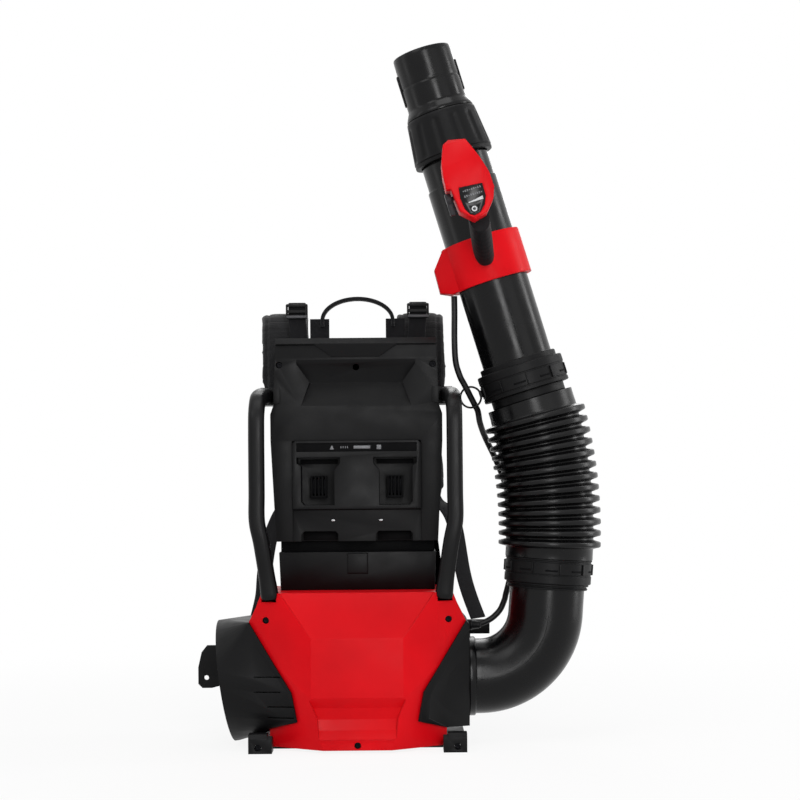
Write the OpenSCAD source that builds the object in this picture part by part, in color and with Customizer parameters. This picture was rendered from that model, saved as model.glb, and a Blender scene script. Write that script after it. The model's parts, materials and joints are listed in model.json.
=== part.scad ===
// Backpack leaf blower with two battery bays, in millimetres.
// +X points to the outlet side, +Y to the wearer's back, +Z up.
// The origin is on the underside of the base plate, below the fan.

/* [Fan housing] */
// Half width of the housing at its side corners
corner_half_w = 148; // [140:1:160]
// Height of the side corners
corner_z = 174; // [165:1:185]
// Half width of the housing's flat top
top_half_w = 130; // [120:1:136]
// Height of the housing's top
housing_top = 214; // [208:1:225]
// Height of the housing's underside
housing_bottom = 3.5; // [3.5:0.5:6]
// Half width where the side covers reach in furthest
seam_half_w = 89; // [84:1:94]
// Height of that point
seam_z = 80; // [70:1:90]
// Half width of the housing above the feet
foot_half_w = 121; // [116:1:126]
// Height of the feet
foot_h = 26; // [20:1:34]
// Distance of the front face ahead of the fan axis
front_y = 112; // [104:1:118]
// Distance of the rear cover behind the fan axis
back_y = 88; // [84:1:96]
// Half width of the flat front face
face_half_w = 62; // [50:1:75]
// Lower and upper edge of the flat front face
face_low = 72; // [60:1:90]
face_high = 154; // [130:1:170]
// Wall of every moulded housing
wall = 3; // [2:0.5:4]

/* [Fan] */
// Height of the fan axis
fan_z = 91; // [89:1:96]
// Bore of the duct round the impeller
duct_bore_r = 60; // [54:1:61]
// Radius of the impeller hub
hub_r = 30; // [26:1:38]
// Length of the impeller hub
hub_len = 34; // [26:1:44]
// Position of the impeller's middle along the axis
impeller_x = -70; // [-85:1:-62]
// Running gap at the blade tips
tip_gap = 1.2; // [0.8:0.1:2]
// Number of impeller blades
blade_count = 9; // [7:1:13]
// Number of fixed guide vanes
vane_count = 7; // [5:1:11]
// Radius of the motor shaft
shaft_r = 4; // [3:0.5:6]

/* [Intake] */
// Outer radius of the intake rim
rim_r = 85; // [80:1:90]
// Position of the rim's middle along X
rim_x = -178; // [-190:1:-174]
// Tilt of the rim, backwards and downwards
rim_tilt = 8; // [0:1:10]
// Number of rings in the grille
grille_rings = 6; // [4:1:8]
// Number of spokes in the grille
grille_spokes = 12; // [8:1:18]

/* [Elbow] */
// Position of the outlet face along X
outlet_x = 153; // [150:1:160]
// Outer diameter of the elbow
elbow_d = 104; // [98:1:108]
// Wall of the elbow
elbow_wall = 3.5; // [2.5:0.5:5]
// Bend radius of the elbow's centre line
bend_r = 93; // [88:1:105]
// Lean of the elbow's upper end away from the pack
elbow_lean = 4; // [0:1:6]
// Straight neck above the bend
neck_len = 44; // [36:1:60]

/* [Hose] */
// Length of the bellows hose
hose_len = 224; // [200:2:260]
// Outer diameter over the ribs
rib_d = 143; // [136:1:146]
// Diameter between the ribs
root_d = 122; // [118:1:126]
// Bore of the hose
hose_bore = 112; // [106:1:114]
// Number of ribs
rib_count = 13; // [9:2:15]
// Length of each hose collar
collar_len = 34; // [28:1:42]

/* [Blower tube] */
// Outer diameter of the tube
tube_d = 98.5; // [94:0.5:100]
// Wall of the tube
tube_wall = 2; // [1.5:0.5:3]
// Lean of the tube towards the pack
tube_lean = 16.9; // [14:0.1:20]
// Top of the main tube, along its axis from the hose
tube_top = 350; // [346:1:360]
// Length of the coupling nut
nut_len = 66; // [56:1:70]
// Outer diameter of the nozzle end
nozzle_d = 83; // [78:1:86]
// Length of the nozzle end beyond the nut
nozzle_len = 90; // [70:1:110]

/* [Handle] */
// Middle of the clamp along the tube
clamp_s = 203; // [196:1:206]
// Length of the clamp
clamp_len = 63; // [50:1:64]
// Width of the grip
grip_w = 30; // [26:1:34]
// Depth of the grip, front to back
grip_depth = 40; // [34:1:46]
// Distance of the grip's upper end from the tube axis
grip_reach = 168; // [160:1:180]
// Thickness of the control head
head_t = 40; // [32:1:44]

/* [Battery housing] */
// Height of the battery housing's top and of its lower edge
bat_top = 563; // [555:1:580]
bat_low = 282; // [278:1:286]
// Half width at the top
bat_half_w = 111; // [108:1:114]
// Distance of its front face ahead of the fan axis
bat_front = 30; // [26:1:36]
// Height of the shoulders that carry the roll bars
shoulder_z = 484; // [480:1:490]
// Half width of the battery tray, and its height
tray_half_w = 89; // [86:1:92]
tray_h = 139; // [134:1:142]
// Distance between the middles of the two bays
bay_pitch = 106; // [104:1:110]
// Width, lower edge and height of a bay
bay_w = 60; // [54:1:62]
bay_low = 332; // [326:1:336]
bay_h = 66; // [58:1:70]

/* [Roll bars] */
// Diameter of a roll bar
bar_d = 23; // [18:1:25]
// Distance of a bar's middle from the battery housing's top corner
bar_clear = 23; // [21:1:29]

/* [Harness] */
// Width of a shoulder pad
pad_w = 80; // [60:1:82]
// Thickness of a shoulder pad
pad_t = 15; // [10:1:18]
// Half distance between the shoulder pads
pad_half = 95; // [90:1:96]
// Width of the webbing
web_w = 25; // [20:1:30]
// Thickness of the webbing
web_t = 2.4; // [1.6:0.2:3]
// Thickness of the back pad
back_pad_t = 24; // [16:1:30]
// Width of the back pad, and of the lumbar pad below it
back_pad_w = 164; // [140:2:166]
lumbar_w = 230; // [200:2:240]

/* [Hidden] */

$fn = 64;
eps = 0.01;
far = 400;
// Clearance between pieces of different bodies, and between fixed pieces
gap = 0.3;
seat = 0.05;
red = [0.80, 0.07, 0.09];
black = [0.06, 0.06, 0.065];
grey = [0.35, 0.35, 0.36];
silver = [0.75, 0.75, 0.77];
copper = [0.80, 0.50, 0.25];

// ---- Helpers ----
function flip(half) = concat(half, [for (i = [len(half) - 1:-1:0]) [-half[i][0], half[i][1]]]);
function unit(v) = v / norm(v);
function area2(p) = let (n = len(p))
    [for (i = 0, s = 0; i <= n; s = s + (i < n ? p[i][0] * p[(i + 1) % n][1]
        - p[(i + 1) % n][0] * p[i][1] : 0), i = i + 1) if (i == n) s][0];
// The polygon p with every edge moved inwards by d
function inset(p, d) = let (n = len(p), side = area2(p) > 0 ? 1 : -1)
    [for (i = [0:n - 1])
        let (a = unit(p[i] - p[(i + n - 1) % n]), b = unit(p[(i + 1) % n] - p[i]),
            na = side * [-a[1], a[0]], nb = side * [-b[1], b[0]])
        p[i] + d * (na + nb) / (1 + na * nb)];

module both() { children(); mirror([1, 0, 0]) children(); }
// An outline in X and Z, from y0 to y1
module prism_y(pts, y0, y1) {
    translate([0, y1, 0]) rotate([90, 0, 0]) linear_extrude(y1 - y0) polygon(pts);
}
// An outline in Y and Z, from x0 to x1
module prism_x(pts, x0, x1) {
    translate([x0, 0, 0]) rotate([90, 0, 90]) linear_extrude(x1 - x0) polygon(pts);
}
// An outline in X and Y, from z0 to z1
module prism_z(pts, z0, z1) { translate([0, 0, z0]) linear_extrude(z1 - z0) polygon(pts); }
module box(lo, hi) { translate(lo) cube(hi - lo); }
module ring(r_out, r_in, h) {
    difference() {
        cylinder(h = h, r = r_out);
        translate([0, 0, -1]) cylinder(h = h + 2, r = r_in);
    }
}
// A closed skin over rings of points, each ring the same length
module skin(rings) {
    n = len(rings[0]);
    m = len(rings);
    polyhedron(points = [for (r = rings) for (p = r) p],
        faces = concat([[for (i = [0:n - 1]) i]], [[for (i = [n - 1:-1:0]) (m - 1) * n + i]],
            [for (k = [0:m - 2]) for (i = [0:n - 1]) [k * n + i, (k + 1) * n + i, k * n + (i + 1) % n]],
            [for (k = [0:m - 2]) for (i = [0:n - 1])
                [k * n + (i + 1) % n, (k + 1) * n + i, (k + 1) * n + (i + 1) % n]]));
}
// A smooth curve through the points p, with k steps between neighbours
function spline(p, k) = let (n = len(p)) concat(
    [for (i = [0:n - 2]) for (j = [0:k - 1])
        let (t = j / k, a = p[max(i - 1, 0)], b = p[i], c = p[i + 1], d = p[min(i + 2, n - 1)])
        0.5 * (2 * b + (c - a) * t + (2 * a - 5 * b + 4 * c - d) * t * t
            + (3 * b - a - 3 * c + d) * t * t * t)], [p[n - 1]]);
function heading(p, i) = unit(p[min(i + 1, len(p) - 1)] - p[max(i - 1, 0)]);
// A tube of oval section along p: w across, measured along side, and t through
module oval_tube(p, w, t, side, sides) {
    skin([for (i = [0:len(p) - 1])
        let (h = heading(p, i), n = unit(cross(h, side)), s = cross(n, h),
            wi = is_list(w) ? w[i] : w, ti = is_list(t) ? t[i] : t)
        [for (j = [0:sides - 1]) let (a = 360 * j / sides)
            p[i] + s * wi / 2 * cos(a) + n * ti / 2 * sin(a)]]);
}
// A flat strap along p, w wide along side and t thick
module strap(p, w, t, side) {
    skin([for (i = [0:len(p) - 1])
        let (h = heading(p, i), n = unit(cross(h, side)), s = cross(n, h))
        [p[i] + s * w / 2 + n * t / 2, p[i] - s * w / 2 + n * t / 2,
            p[i] - s * w / 2 - n * t / 2, p[i] + s * w / 2 - n * t / 2]]);
}
// A soft pad along p: crowned, with its sides and ends drawn in
module pad(p, w, t, side, taper) {
    m = len(p) - 1;
    sides = 14;
    skin([for (i = [0:m])
        let (h = heading(p, i), n = unit(cross(h, side)), s = cross(n, h),
            e = min(1, min(i, m - i) / 2), f = 0.62 + 0.38 * sin(90 * e),
            wi = w * f * (1 - taper * i / m), ti = t * (0.4 + 0.6 * sin(90 * e)))
        [for (j = [0:sides - 1])
            let (a = 360 * j / sides, c = cos(a), d = sin(a))
            p[i] + s * wi / 2 * sign(c) * pow(abs(c), 0.6) + n * ti / 2 * sign(d) * pow(abs(d), 0.75)]]);
}
module on_fan_axis(x) { translate([x, 0, fan_z]) rotate([0, 90, 0]) children(); }

// ---- Fan housing ----
side_slope = 0.5;
loom_r = 5;
loom_y = 62;
top_slope = 0.5;
side_low_w = seam_half_w - 7.5;
side_low_z = seam_z / 2;
roof_y = -front_y + (housing_top - face_high) * top_slope;
lip_y = -front_y + 2;
lip_z = 18;
shoulder_w = (top_half_w + corner_half_w) / 2 - 1;
housing_outline = flip([[top_half_w, housing_top], [shoulder_w, (housing_top + corner_z) / 2],
    [corner_half_w, corner_z], [seam_half_w, seam_z], [side_low_w, side_low_z],
    [foot_half_w, foot_h + 2], [foot_half_w, housing_bottom]]);
// The hollow below the front face's lower edge
scoop = [[-front_y, face_low + 2], [-front_y + 11, face_low - 12], [-front_y + 15, face_low - 28],
    [-front_y + 12, lip_z + 11], [lip_y, lip_z]];
housing_side = concat([[-front_y, face_high], [roof_y, housing_top], [back_y, housing_top],
    [back_y, housing_bottom], [lip_y, housing_bottom]], [for (k = [4:-1:0]) scoop[k]]);
housing_hull = [[-front_y, housing_top - 6], [-front_y + 6, housing_top], [back_y, housing_top],
    [back_y, housing_bottom], [lip_y, housing_bottom], [lip_y, lip_z - 4], [-front_y, lip_z]];
function plan(extra) = let (f = -front_y - extra, w = corner_half_w + 40)
    flip([[face_half_w, f], [w, f + (w - face_half_w) * side_slope], [w, back_y + 60]]);
// The side facet's depth at a distance x from the middle, and the lower band's below its upper edge
function facet_y(x) = -front_y + (x - face_half_w) * side_slope;
band_start = [face_half_w + 4, face_low + 3];
band_line = unit([corner_half_w - face_half_w - 3, corner_z - face_low - 27]);
band_slope = 0.25;
function front_at(x, z) = facet_y(x) + band_slope * max(0, (x - band_start[0]) * band_line[1]
    - (z - band_start[1]) * band_line[0]);
band_normal = unit([side_slope + band_slope * band_line[1], -1, -band_slope * band_line[0]]);
// All that lies behind the lower band, moved back by d, on the side s
module behind_band(d, s) {
    mirror([s < 0 ? 1 : 0, 0, 0])
        translate([band_start[0], facet_y(band_start[0]), band_start[1]] - d * band_normal)
            rotate([0, acos(band_normal[2]), atan2(band_normal[1], band_normal[0])])
                translate([-far, -far, -2 * far]) cube([2 * far, 2 * far, 2 * far]);
}
inner_outline = flip([[top_half_w - wall, housing_top - wall],
    [shoulder_w - wall, (housing_top + corner_z) / 2],
    [corner_half_w - wall, corner_z], [corner_half_w + 60, corner_z - 25],
    [corner_half_w + 60, housing_bottom + wall]]);
screw_z = corner_z + 3;
screw_x = 124;

module fan_housing() {
    color(red) difference() {
        intersection() {
            prism_y(housing_outline, -far, back_y);
            prism_x(housing_hull, -far, far);
            prism_z(plan(0), -far, far);
            behind_band(0, 1);
            behind_band(0, -1);
        }
        // Panel above the front face, and hollow below it
        intersection() {
            prism_y(flip([[face_half_w, face_high], [face_half_w + 44, housing_top + 1]]), -far, 0);
            prism_x([[-far, face_high], [-front_y, face_high], [roof_y + 0.5, housing_top + 1],
                [-far, housing_top + 1]], -far, far);
        }
        intersection() {
            prism_y(flip([[face_half_w + 4, face_low + 2], [face_half_w - 8, face_low - 26],
                [face_half_w - 10, lip_z]]), -far, 0);
            prism_x(concat([[-far, face_low + 2]], scoop, [[-far, lip_z]]), -far, far);
        }
        intersection() {
            prism_y(inner_outline, -far, back_y + 1);
            prism_x([for (p = inset(housing_side, wall)) [p[0] > 0 ? back_y + 1 : p[0], p[1]]], -far, far);
            prism_z(plan(-wall), -far, far);
            behind_band(wall, 1);
            behind_band(wall, -1);
        }
        both() screw_hole(screw_x, facet_y(screw_x), screw_z);
        screw_hole(0, lip_y, housing_bottom + 6.5);
        both() translate([foot_x, foot_y, housing_top - 12]) cylinder(h = 40, d = bar_d + 1);
        // Way through for the wiring loom
        translate([0, loom_y + 4, housing_top - 12]) cylinder(h = 40, r = loom_r + 2 * gap);
    }
}
screw_r = 4;
module screw_hole(x, y, z) {
    translate([x, y - 6, z]) rotate([-90, 0, 0]) cylinder(h = 30, r = screw_r + 0.5);
}
module screw(x, y, z, len) {
    translate([x, y, z]) rotate([-90, 0, 0]) difference() {
        union() { cylinder(h = 3, r = screw_r); cylinder(h = len, r = 1.8); }
        translate([0, 0, -1]) cylinder(h = 2.8, r = 1.9, $fn = 6);
    }
}

module rear_cover() {
    color(black) difference() {
        union() {
            prism_y(housing_outline, back_y + seat, back_y + 4);
            for (x = [-90, -30, 30, 90])
                box([x - 2, back_y + 3, foot_h - 2], [x + 2, back_y + 7, housing_top - 14]);
            intersection() {
                prism_y(inset(housing_outline, wall + gap), back_y - 6, back_y + 2);
                box([-seam_half_w, -far, housing_top - 10], [seam_half_w, far, housing_top - wall - gap]);
            }
        }
        for (i = [0:5]) box([-26, back_y - 10, 60 + i * 14], [26, back_y + 10, 66 + i * 14]);
        box([-40, back_y - 10, housing_top - 40], [40, back_y + 2, housing_top + 1]);
    }
}

// ---- Side covers ----
flange_w = 10;
seal_gap = 0.4;
seam_line = [[corner_half_w, corner_z], [seam_half_w, seam_z], [side_low_w, side_low_z],
    [foot_half_w, foot_h + 2]];
// Clear of the seam: sideways, and upwards below the narrowest point
seam_clear = [for (k = [0:3]) seam_line[k] + [seal_gap, k < 2 ? -seal_gap / 2 : seal_gap]];
flange = concat(seam_clear, [[side_low_w + flange_w + 5, side_low_z + 3],
    [seam_half_w + flange_w + 1, seam_z - 4], [corner_half_w + 3, corner_z - 13]]);
rim_in = rim_r - 7;
rim_turn = 2;
module rim_place() {
    translate([rim_x, 0, fan_z - 2]) rotate([0, -90 - rim_tilt, 0]) rotate([-rim_turn, 0, 0]) children();
}
module seam_posts(in, out_x) {
    for (k = [0:3]) {
        p = seam_line[k];
        x = -p[0] - seal_gap + out_x;
        z = p[1] + (k == 0 ? -in : k == 3 ? in : 0) - seal_gap;
        box([x - 0.2, front_at(p[0], p[1]) - 1 + in, z - 0.2], [x, back_y - in, z]);
    }
}
module intake_cover() {
    color(black) difference() {
        union() {
            difference() {
                hull() {
                    rim_place() cylinder(h = 6, r = rim_r, $fn = 48);
                    seam_posts(0, 1);
                }
                hull() {
                    rim_place() translate([0, 0, -3]) cylinder(h = 2, r = rim_r - wall, $fn = 48);
                    seam_posts(wall, 6);
                }
                seam_cut(-1);
            }
            intersection() {
                mirror([1, 0, 0]) prism_y(flange, -far, 0);
                facet_band(-1);
            }
        }
        rim_place() translate([0, 0, -20]) cylinder(h = 40, r = rim_in);
        for (z = [seam_z - 35, seam_z - 20, seam_z, seam_z + 20])
            translate([-corner_half_w + 8 + (z < seam_z ? 18 : 0), 0, z])
                rotate([90, 0, 0]) cube([36, 1.6, far], center = false);
    }
}
// Everything on the housing's side of the seam, kept clear of the covers
module seam_cut(s) {
    mirror([s < 0 ? 1 : 0, 0, 0]) prism_y(concat([[corner_half_w, corner_z + 60]], seam_clear,
        [[foot_half_w + seal_gap, -10], [-10, -10], [-10, corner_z + 60]]), -far, back_y + 1);
}
module behind_facet(d) {
    prism_z([[-40, facet_y(-40) + d], [far, facet_y(far) + d], [far, far], [-40, far]], 0, far);
}
module facet_band(s) {
    difference() {
        intersection() {
            mirror([s < 0 ? 1 : 0, 0, 0]) behind_facet(-4.5);
            behind_band(-3.6, s);
        }
        intersection() {
            mirror([s < 0 ? 1 : 0, 0, 0]) behind_facet(2.5);
            behind_band(2, s);
        }
    }
}
module intake_grille() {
    color(black) rim_place() translate([0, 0, -1.5]) {
        ring(rim_in - gap, rim_in - 6, 5);
        pitch = (rim_in - 20) / grille_rings;
        for (i = [1:grille_rings]) translate([0, 0, 1]) ring(i * pitch + 2, i * pitch - 1, 3);
        for (k = [0:grille_spokes - 1]) rotate(k * 360 / grille_spokes)
            translate([pitch - 3, -1.2, 0]) cube([rim_in - pitch + 1, 2.4, 3]);
        cylinder(h = 4, r = pitch);
    }
}
outlet_plan = [[-10, -front_y - 1], [seam_half_w, facet_y(seam_half_w) - 1],
    [outlet_x, facet_y(outlet_x) + 4], [outlet_x, back_y], [-10, back_y]];
outlet_outline = [[corner_half_w + seal_gap, corner_z - seal_gap], [seam_half_w + seal_gap, seam_z],
    [side_low_w + seal_gap, side_low_z], [foot_half_w + seal_gap, foot_h + 2], [outlet_x, foot_h + 1],
    [outlet_x, corner_z - 6]];
spigot_d = elbow_d - 6;
cable_d = 8.5;
gland_y = 59;
gland_z = 158;
module outlet_cover() {
    color(black) difference() {
        union() {
            difference() {
                intersection() {
                    prism_y(outlet_outline, -far, back_y);
                    prism_z(outlet_plan, 0, far);
                    behind_band(0, 1);
                }
                intersection() {
                    prism_y([for (p = inset(outlet_outline, wall))
                        [p[0] < outlet_x - wall - 1 ? p[0] - 12 : p[0], p[1]]], -far, back_y - wall);
                    prism_z([for (p = inset(outlet_plan, wall)) [p[0] < 20 ? -30 : p[0], p[1]]], 0, far);
                    behind_band(wall, 1);
                }
            }
            intersection() {
                prism_y(flange, -far, 0);
                facet_band(1);
            }
            on_fan_axis(outlet_x - 26) cylinder(h = 26, d = spigot_d + 9);
            // Gland of the pack cable
            translate([outlet_x - 1, gland_y, gland_z]) rotate([0, 90, 0]) cylinder(h = 6,
                r = cable_d / 2 + 3.5);
        }
        translate([outlet_x, gland_y, gland_z]) rotate([0, 90, 0]) cylinder(h = 10, r = cable_d / 2 + gap);
        seam_cut(1);
        on_fan_axis(outlet_x - 60) cylinder(h = 80, d = spigot_d + 2 * gap);
        for (z = [seam_z - 35, seam_z - 20, seam_z, seam_z + 20])
            box([outlet_x - 40 + (z < seam_z ? 0 : 12), -far, z],
                [outlet_x - 8, facet_y(outlet_x - 20) + 1, z + 1.6]);
    }
}

// ---- Duct, fan and motor ----
duct_wall = 2.5;
duct_end = outlet_x - 28;
duct_end_r = spigot_d / 2 - elbow_wall;
duct_start = rim_x + 32;
function duct_profile(o) = [[duct_bore_r + 8 + o, duct_start], [duct_bore_r + o, duct_start + 28],
    [duct_bore_r + o, impeller_x + 80], [duct_end_r + 6 + o, duct_end - 50], [duct_end_r + o, duct_end]];
module duct_solid(o) {
    translate([0, 0, fan_z]) rotate([0, 90, 0]) rotate_extrude()
        polygon(concat([[0, duct_start - (o > 0 ? 0 : 1)]], [for (q = duct_profile(o)) q],
            [[duct_end_r + o, duct_end + (o > 0 ? 0 : 1)], [0, duct_end + (o > 0 ? 0 : 1)]]));
}
module fan_duct() {
    color(grey) difference() {
        union() {
            duct_solid(duct_wall);
            // Saddles that stand on the housing's floor
            for (x = [impeller_x, impeller_x + 2 * duct_bore_r])
                box([x - 4, -duct_bore_r / 2, housing_bottom + wall + seat],
                    [x + 4, duct_bore_r / 2, fan_z - duct_end_r]);
        }
        duct_solid(0);
    }
}
blade_r = duct_bore_r - tip_gap;
module impeller() {
    color(black) difference() {
        union() {
            on_fan_axis(impeller_x - hub_len / 2) cylinder(h = hub_len, r = hub_r);
            on_fan_axis(impeller_x - hub_len / 2 - 8) cylinder(h = 8 + eps, r1 = hub_r - 12, r2 = hub_r);
            on_fan_axis(impeller_x) intersection() {
                for (k = [0:blade_count - 1]) rotate(k * 360 / blade_count) translate([hub_r - 2, 0, 0])
                    rotate([38, 0, 0]) translate([0, -1.2, -22]) cube([blade_r, 2.4, 44]);
                cylinder(h = hub_len, r = blade_r, center = true);
            }
        }
        on_fan_axis(impeller_x - far / 2) cylinder(h = far, r = shaft_r + seat);
    }
}
motor_x = impeller_x + hub_len / 2 + 8;
motor_len = 66;
motor_r = hub_r - 1;
bearing_w = 7;
rotor_r = 13.2;
module motor_shaft() {
    color(silver) on_fan_axis(impeller_x - hub_len / 2 - 14) {
        cylinder(h = motor_x + motor_len - impeller_x + hub_len / 2 + 14, r = shaft_r);
        cylinder(h = 5, r = shaft_r + 4, $fn = 6);
    }
}
module motor_can() {
    color(silver) on_fan_axis(motor_x) difference() {
        cylinder(h = motor_len, r = motor_r);
        translate([0, 0, bearing_w + 2]) cylinder(h = motor_len - 2 * bearing_w - 4, r = motor_r - 3);
        translate([0, 0, -1]) cylinder(h = motor_len + 2, r = 11 + seat);
    }
}
module motor_stator() {
    color(copper) on_fan_axis(motor_x + bearing_w + 8) difference() {
        union() {
            ring(motor_r - 3 - seat, motor_r - 7, motor_len - 2 * bearing_w - 16);
            for (k = [0:11]) rotate(k * 30) translate([rotor_r, -2.5, 3])
                cube([motor_r - rotor_r - 6, 5, motor_len - 2 * bearing_w - 22]);
        }
        translate([0, 0, -1]) cylinder(h = motor_len, r = rotor_r + 0.8);
    }
}
module motor_rotor() {
    color(silver) on_fan_axis(motor_x + bearing_w + 9)
        ring(rotor_r, shaft_r + seat, motor_len - 2 * bearing_w - 18);
}
module motor_bearings() {
    color(silver) for (x = [motor_x, motor_x + motor_len - bearing_w])
        on_fan_axis(x) ring(11, shaft_r + 0.04, bearing_w);
}
module guide_vanes() {
    color(grey) on_fan_axis(motor_x + 6) {
        ring(motor_r + 3, motor_r + seat, motor_len - 10);
        intersection() {
            for (k = [0:vane_count - 1]) rotate(k * 360 / vane_count) translate([motor_r + 1, -1.5, 4])
                cube([duct_bore_r, 3, 40]);
            cylinder(h = far, r = duct_bore_r - seat);
        }
    }
}
controller_top = housing_top - 46;
module motor_controller() {
    color(black) difference() {
        box([-50, back_y - 22, controller_top - 20], [50, back_y - seat, controller_top]);
        for (x = [-40:10:40]) box([x, back_y - 12, controller_top - 21], [x + 6, back_y + 1,
            controller_top + 1]);
    }
}

// ---- Base ----
skid_in = foot_half_w + gap;
skid_out = foot_half_w + 26;
skid_h = 12;
foot_back = facet_y(skid_out) - 18;
module base_frame() {
    color(black) difference() {
        union() {
            both() prism_x([[-front_y + 2, 0], [back_y + 7, 0], [back_y + 7, skid_h], [foot_back, skid_h],
                [foot_back, foot_h], [-front_y + 6, foot_h], [-front_y + 2, foot_h - 6]], skid_in,
                    skid_out);
            // Toes that reach inwards ahead of the housing
            both() prism_x([[-front_y + 2, 0], [-front_y + 34, 0], [-front_y + 34, foot_h - 8],
                [-front_y + 6, foot_h - 2], [-front_y + 2, foot_h - 8]], skid_in - 6, skid_in + 1);
            box([-skid_in - 1, -60, 0], [skid_in + 1, back_y + 7, housing_bottom - seat]);
        }
        both() box([skid_in + wall, foot_back, -1], [skid_out - wall, back_y, skid_h - wall]);
        both() screw_hole(skid_in + 13, -front_y + 2, 8);
    }
}

// ---- Neck and battery housing ----
neck_top = bat_low - 15;
neck_in = bat_half_w - 17;
module neck_cover() {
    front = -bat_front + 8;
    color(black) difference() {
        union() {
            prism_y(flip([[bat_half_w - 2, neck_top], [bat_half_w - 4, housing_top + seat]]), front,
                back_y + 7);
            box([-neck_in - 4, front + 16, neck_top - 1], [neck_in + 4, back_y + 4, bat_low - seat]);
            box([-14, front - 2, neck_top - 30], [14, front + 1, neck_top - 2]);
        }
        prism_y(flip([[bat_half_w - 6, neck_top - wall], [bat_half_w - 8, housing_top - 1]]),
            front + wall, back_y + 3);
        box([-neck_in, front + 19, neck_top - 10], [neck_in, back_y, bat_low + 1]);
    }
}
tray_top = bat_low + tray_h;
tray_floor = -2;
bat_outline = flip([[bat_half_w, bat_top], [bat_half_w + 2, shoulder_z + 31], [bat_half_w + 3, shoulder_z - 12],
    [bat_half_w + 8, shoulder_z - 26], [bat_half_w + 8, tray_top], [bat_half_w + 1, bat_low]]);
split_y = 40;
bat_back = back_y + 7;
bar_end_x = bat_half_w + 16;
bar_end_y = -16;
bat_side = [[-bat_front - 6, bat_top - 10], [-bat_front + 2, bat_top], [split_y, bat_top], [split_y,
    bat_low],
    [-bat_front, bat_low], [-bat_front, tray_top], [-bat_front - 6, bat_top - 26]];
recess_side = [[-far, bat_top - 27], [-bat_front - 8, bat_top - 27], [-bat_front + 18, shoulder_z + 18],
    [-bat_front - 4, shoulder_z - 17], [-far, shoulder_z - 17]];
recess_front = flip([[32, bat_top - 27], [56, bat_top - 12], [82, bat_top - 12], [82, bat_top - 36],
    [64, shoulder_z + 18], [77.5, shoulder_z - 18]]);
bat_inner_side = [[-bat_front + 3, bat_top - 12], [-bat_front + 6, bat_top - wall], [split_y + 1,
    bat_top - wall], [split_y + 1, bat_low + wall], [-bat_front + wall, bat_low + wall],
    [-bat_front + wall, shoulder_z - 26], [-bat_front + 22, shoulder_z + 18], [-bat_front + 3, bat_top - 34]];
module battery_housing() {
    color(black) difference() {
        union() {
            intersection() {
                prism_y(bat_outline, -far, split_y);
                prism_x(bat_side, -far, far);
            }
            // Bosses that the roll bars end on, with a lug on the front
            both() prism_y([[bat_half_w - 8, shoulder_z - 12], [bar_end_x + 6, shoulder_z - 12],
                [bar_end_x + 12, shoulder_z - 6], [bar_end_x + 12, shoulder_z + 6], [bar_end_x + 6,
                    shoulder_z + 12], [bat_half_w - 8, shoulder_z + 12]], bar_end_y + seat, split_y);
            both() prism_y([[bat_half_w - 6, shoulder_z - 10], [bat_half_w + 3, shoulder_z - 12],
                [bat_half_w + 3, shoulder_z + 12], [bat_half_w - 6, shoulder_z + 11]], -bat_front - 7, 0);
            // The lip along the top edge, with its middle tab
            intersection() {
                prism_y(flip([[bat_half_w, bat_top], [bat_half_w, bat_top - 9], [57, bat_top - 9],
                    [33, bat_top - 26]]), -bat_front - 12, -bat_front + 6);
                prism_x([[-bat_front - 12, bat_top - 8], [-bat_front - 4, bat_top], [-bat_front + 6,
                    bat_top],
                    [-bat_front + 6, bat_top - 30], [-bat_front - 8, bat_top - 30]], -far, far);
            }
        }
        intersection() {
            prism_x(recess_side, -far, far);
            prism_y(recess_front, -far, split_y);
        }
        intersection() {
            prism_y(inset(bat_outline, wall), -far, split_y + 1);
            prism_x(bat_inner_side, -far, far);
        }
        // Seat of the battery tray
        box([-tray_half_w - seat, -far, bat_low - 1], [tray_half_w + seat, tray_floor + 2 + eps,
            tray_top + seat]);
        both() screw_hole(bat_half_w - 5, -bat_front - 7, bat_top - 37);
        screw_hole(0, -bat_front + 3, bat_top - 40);
    }
}
module battery_housing_back() {
    color(black) difference() {
        prism_y(bat_outline, split_y + seat, bat_back);
        prism_y(inset(bat_outline, wall), split_y - 1, bat_back - wall);
        box([-30, split_y, bat_low - 1], [30, bat_back - 10, bat_low + 6]);
    }
}
shelf_z = bay_low - 5;
latch_x = 33;
bay_outer = bay_pitch / 2 + bay_w / 2;
bay_inner = bay_pitch / 2 - bay_w / 2;
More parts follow.
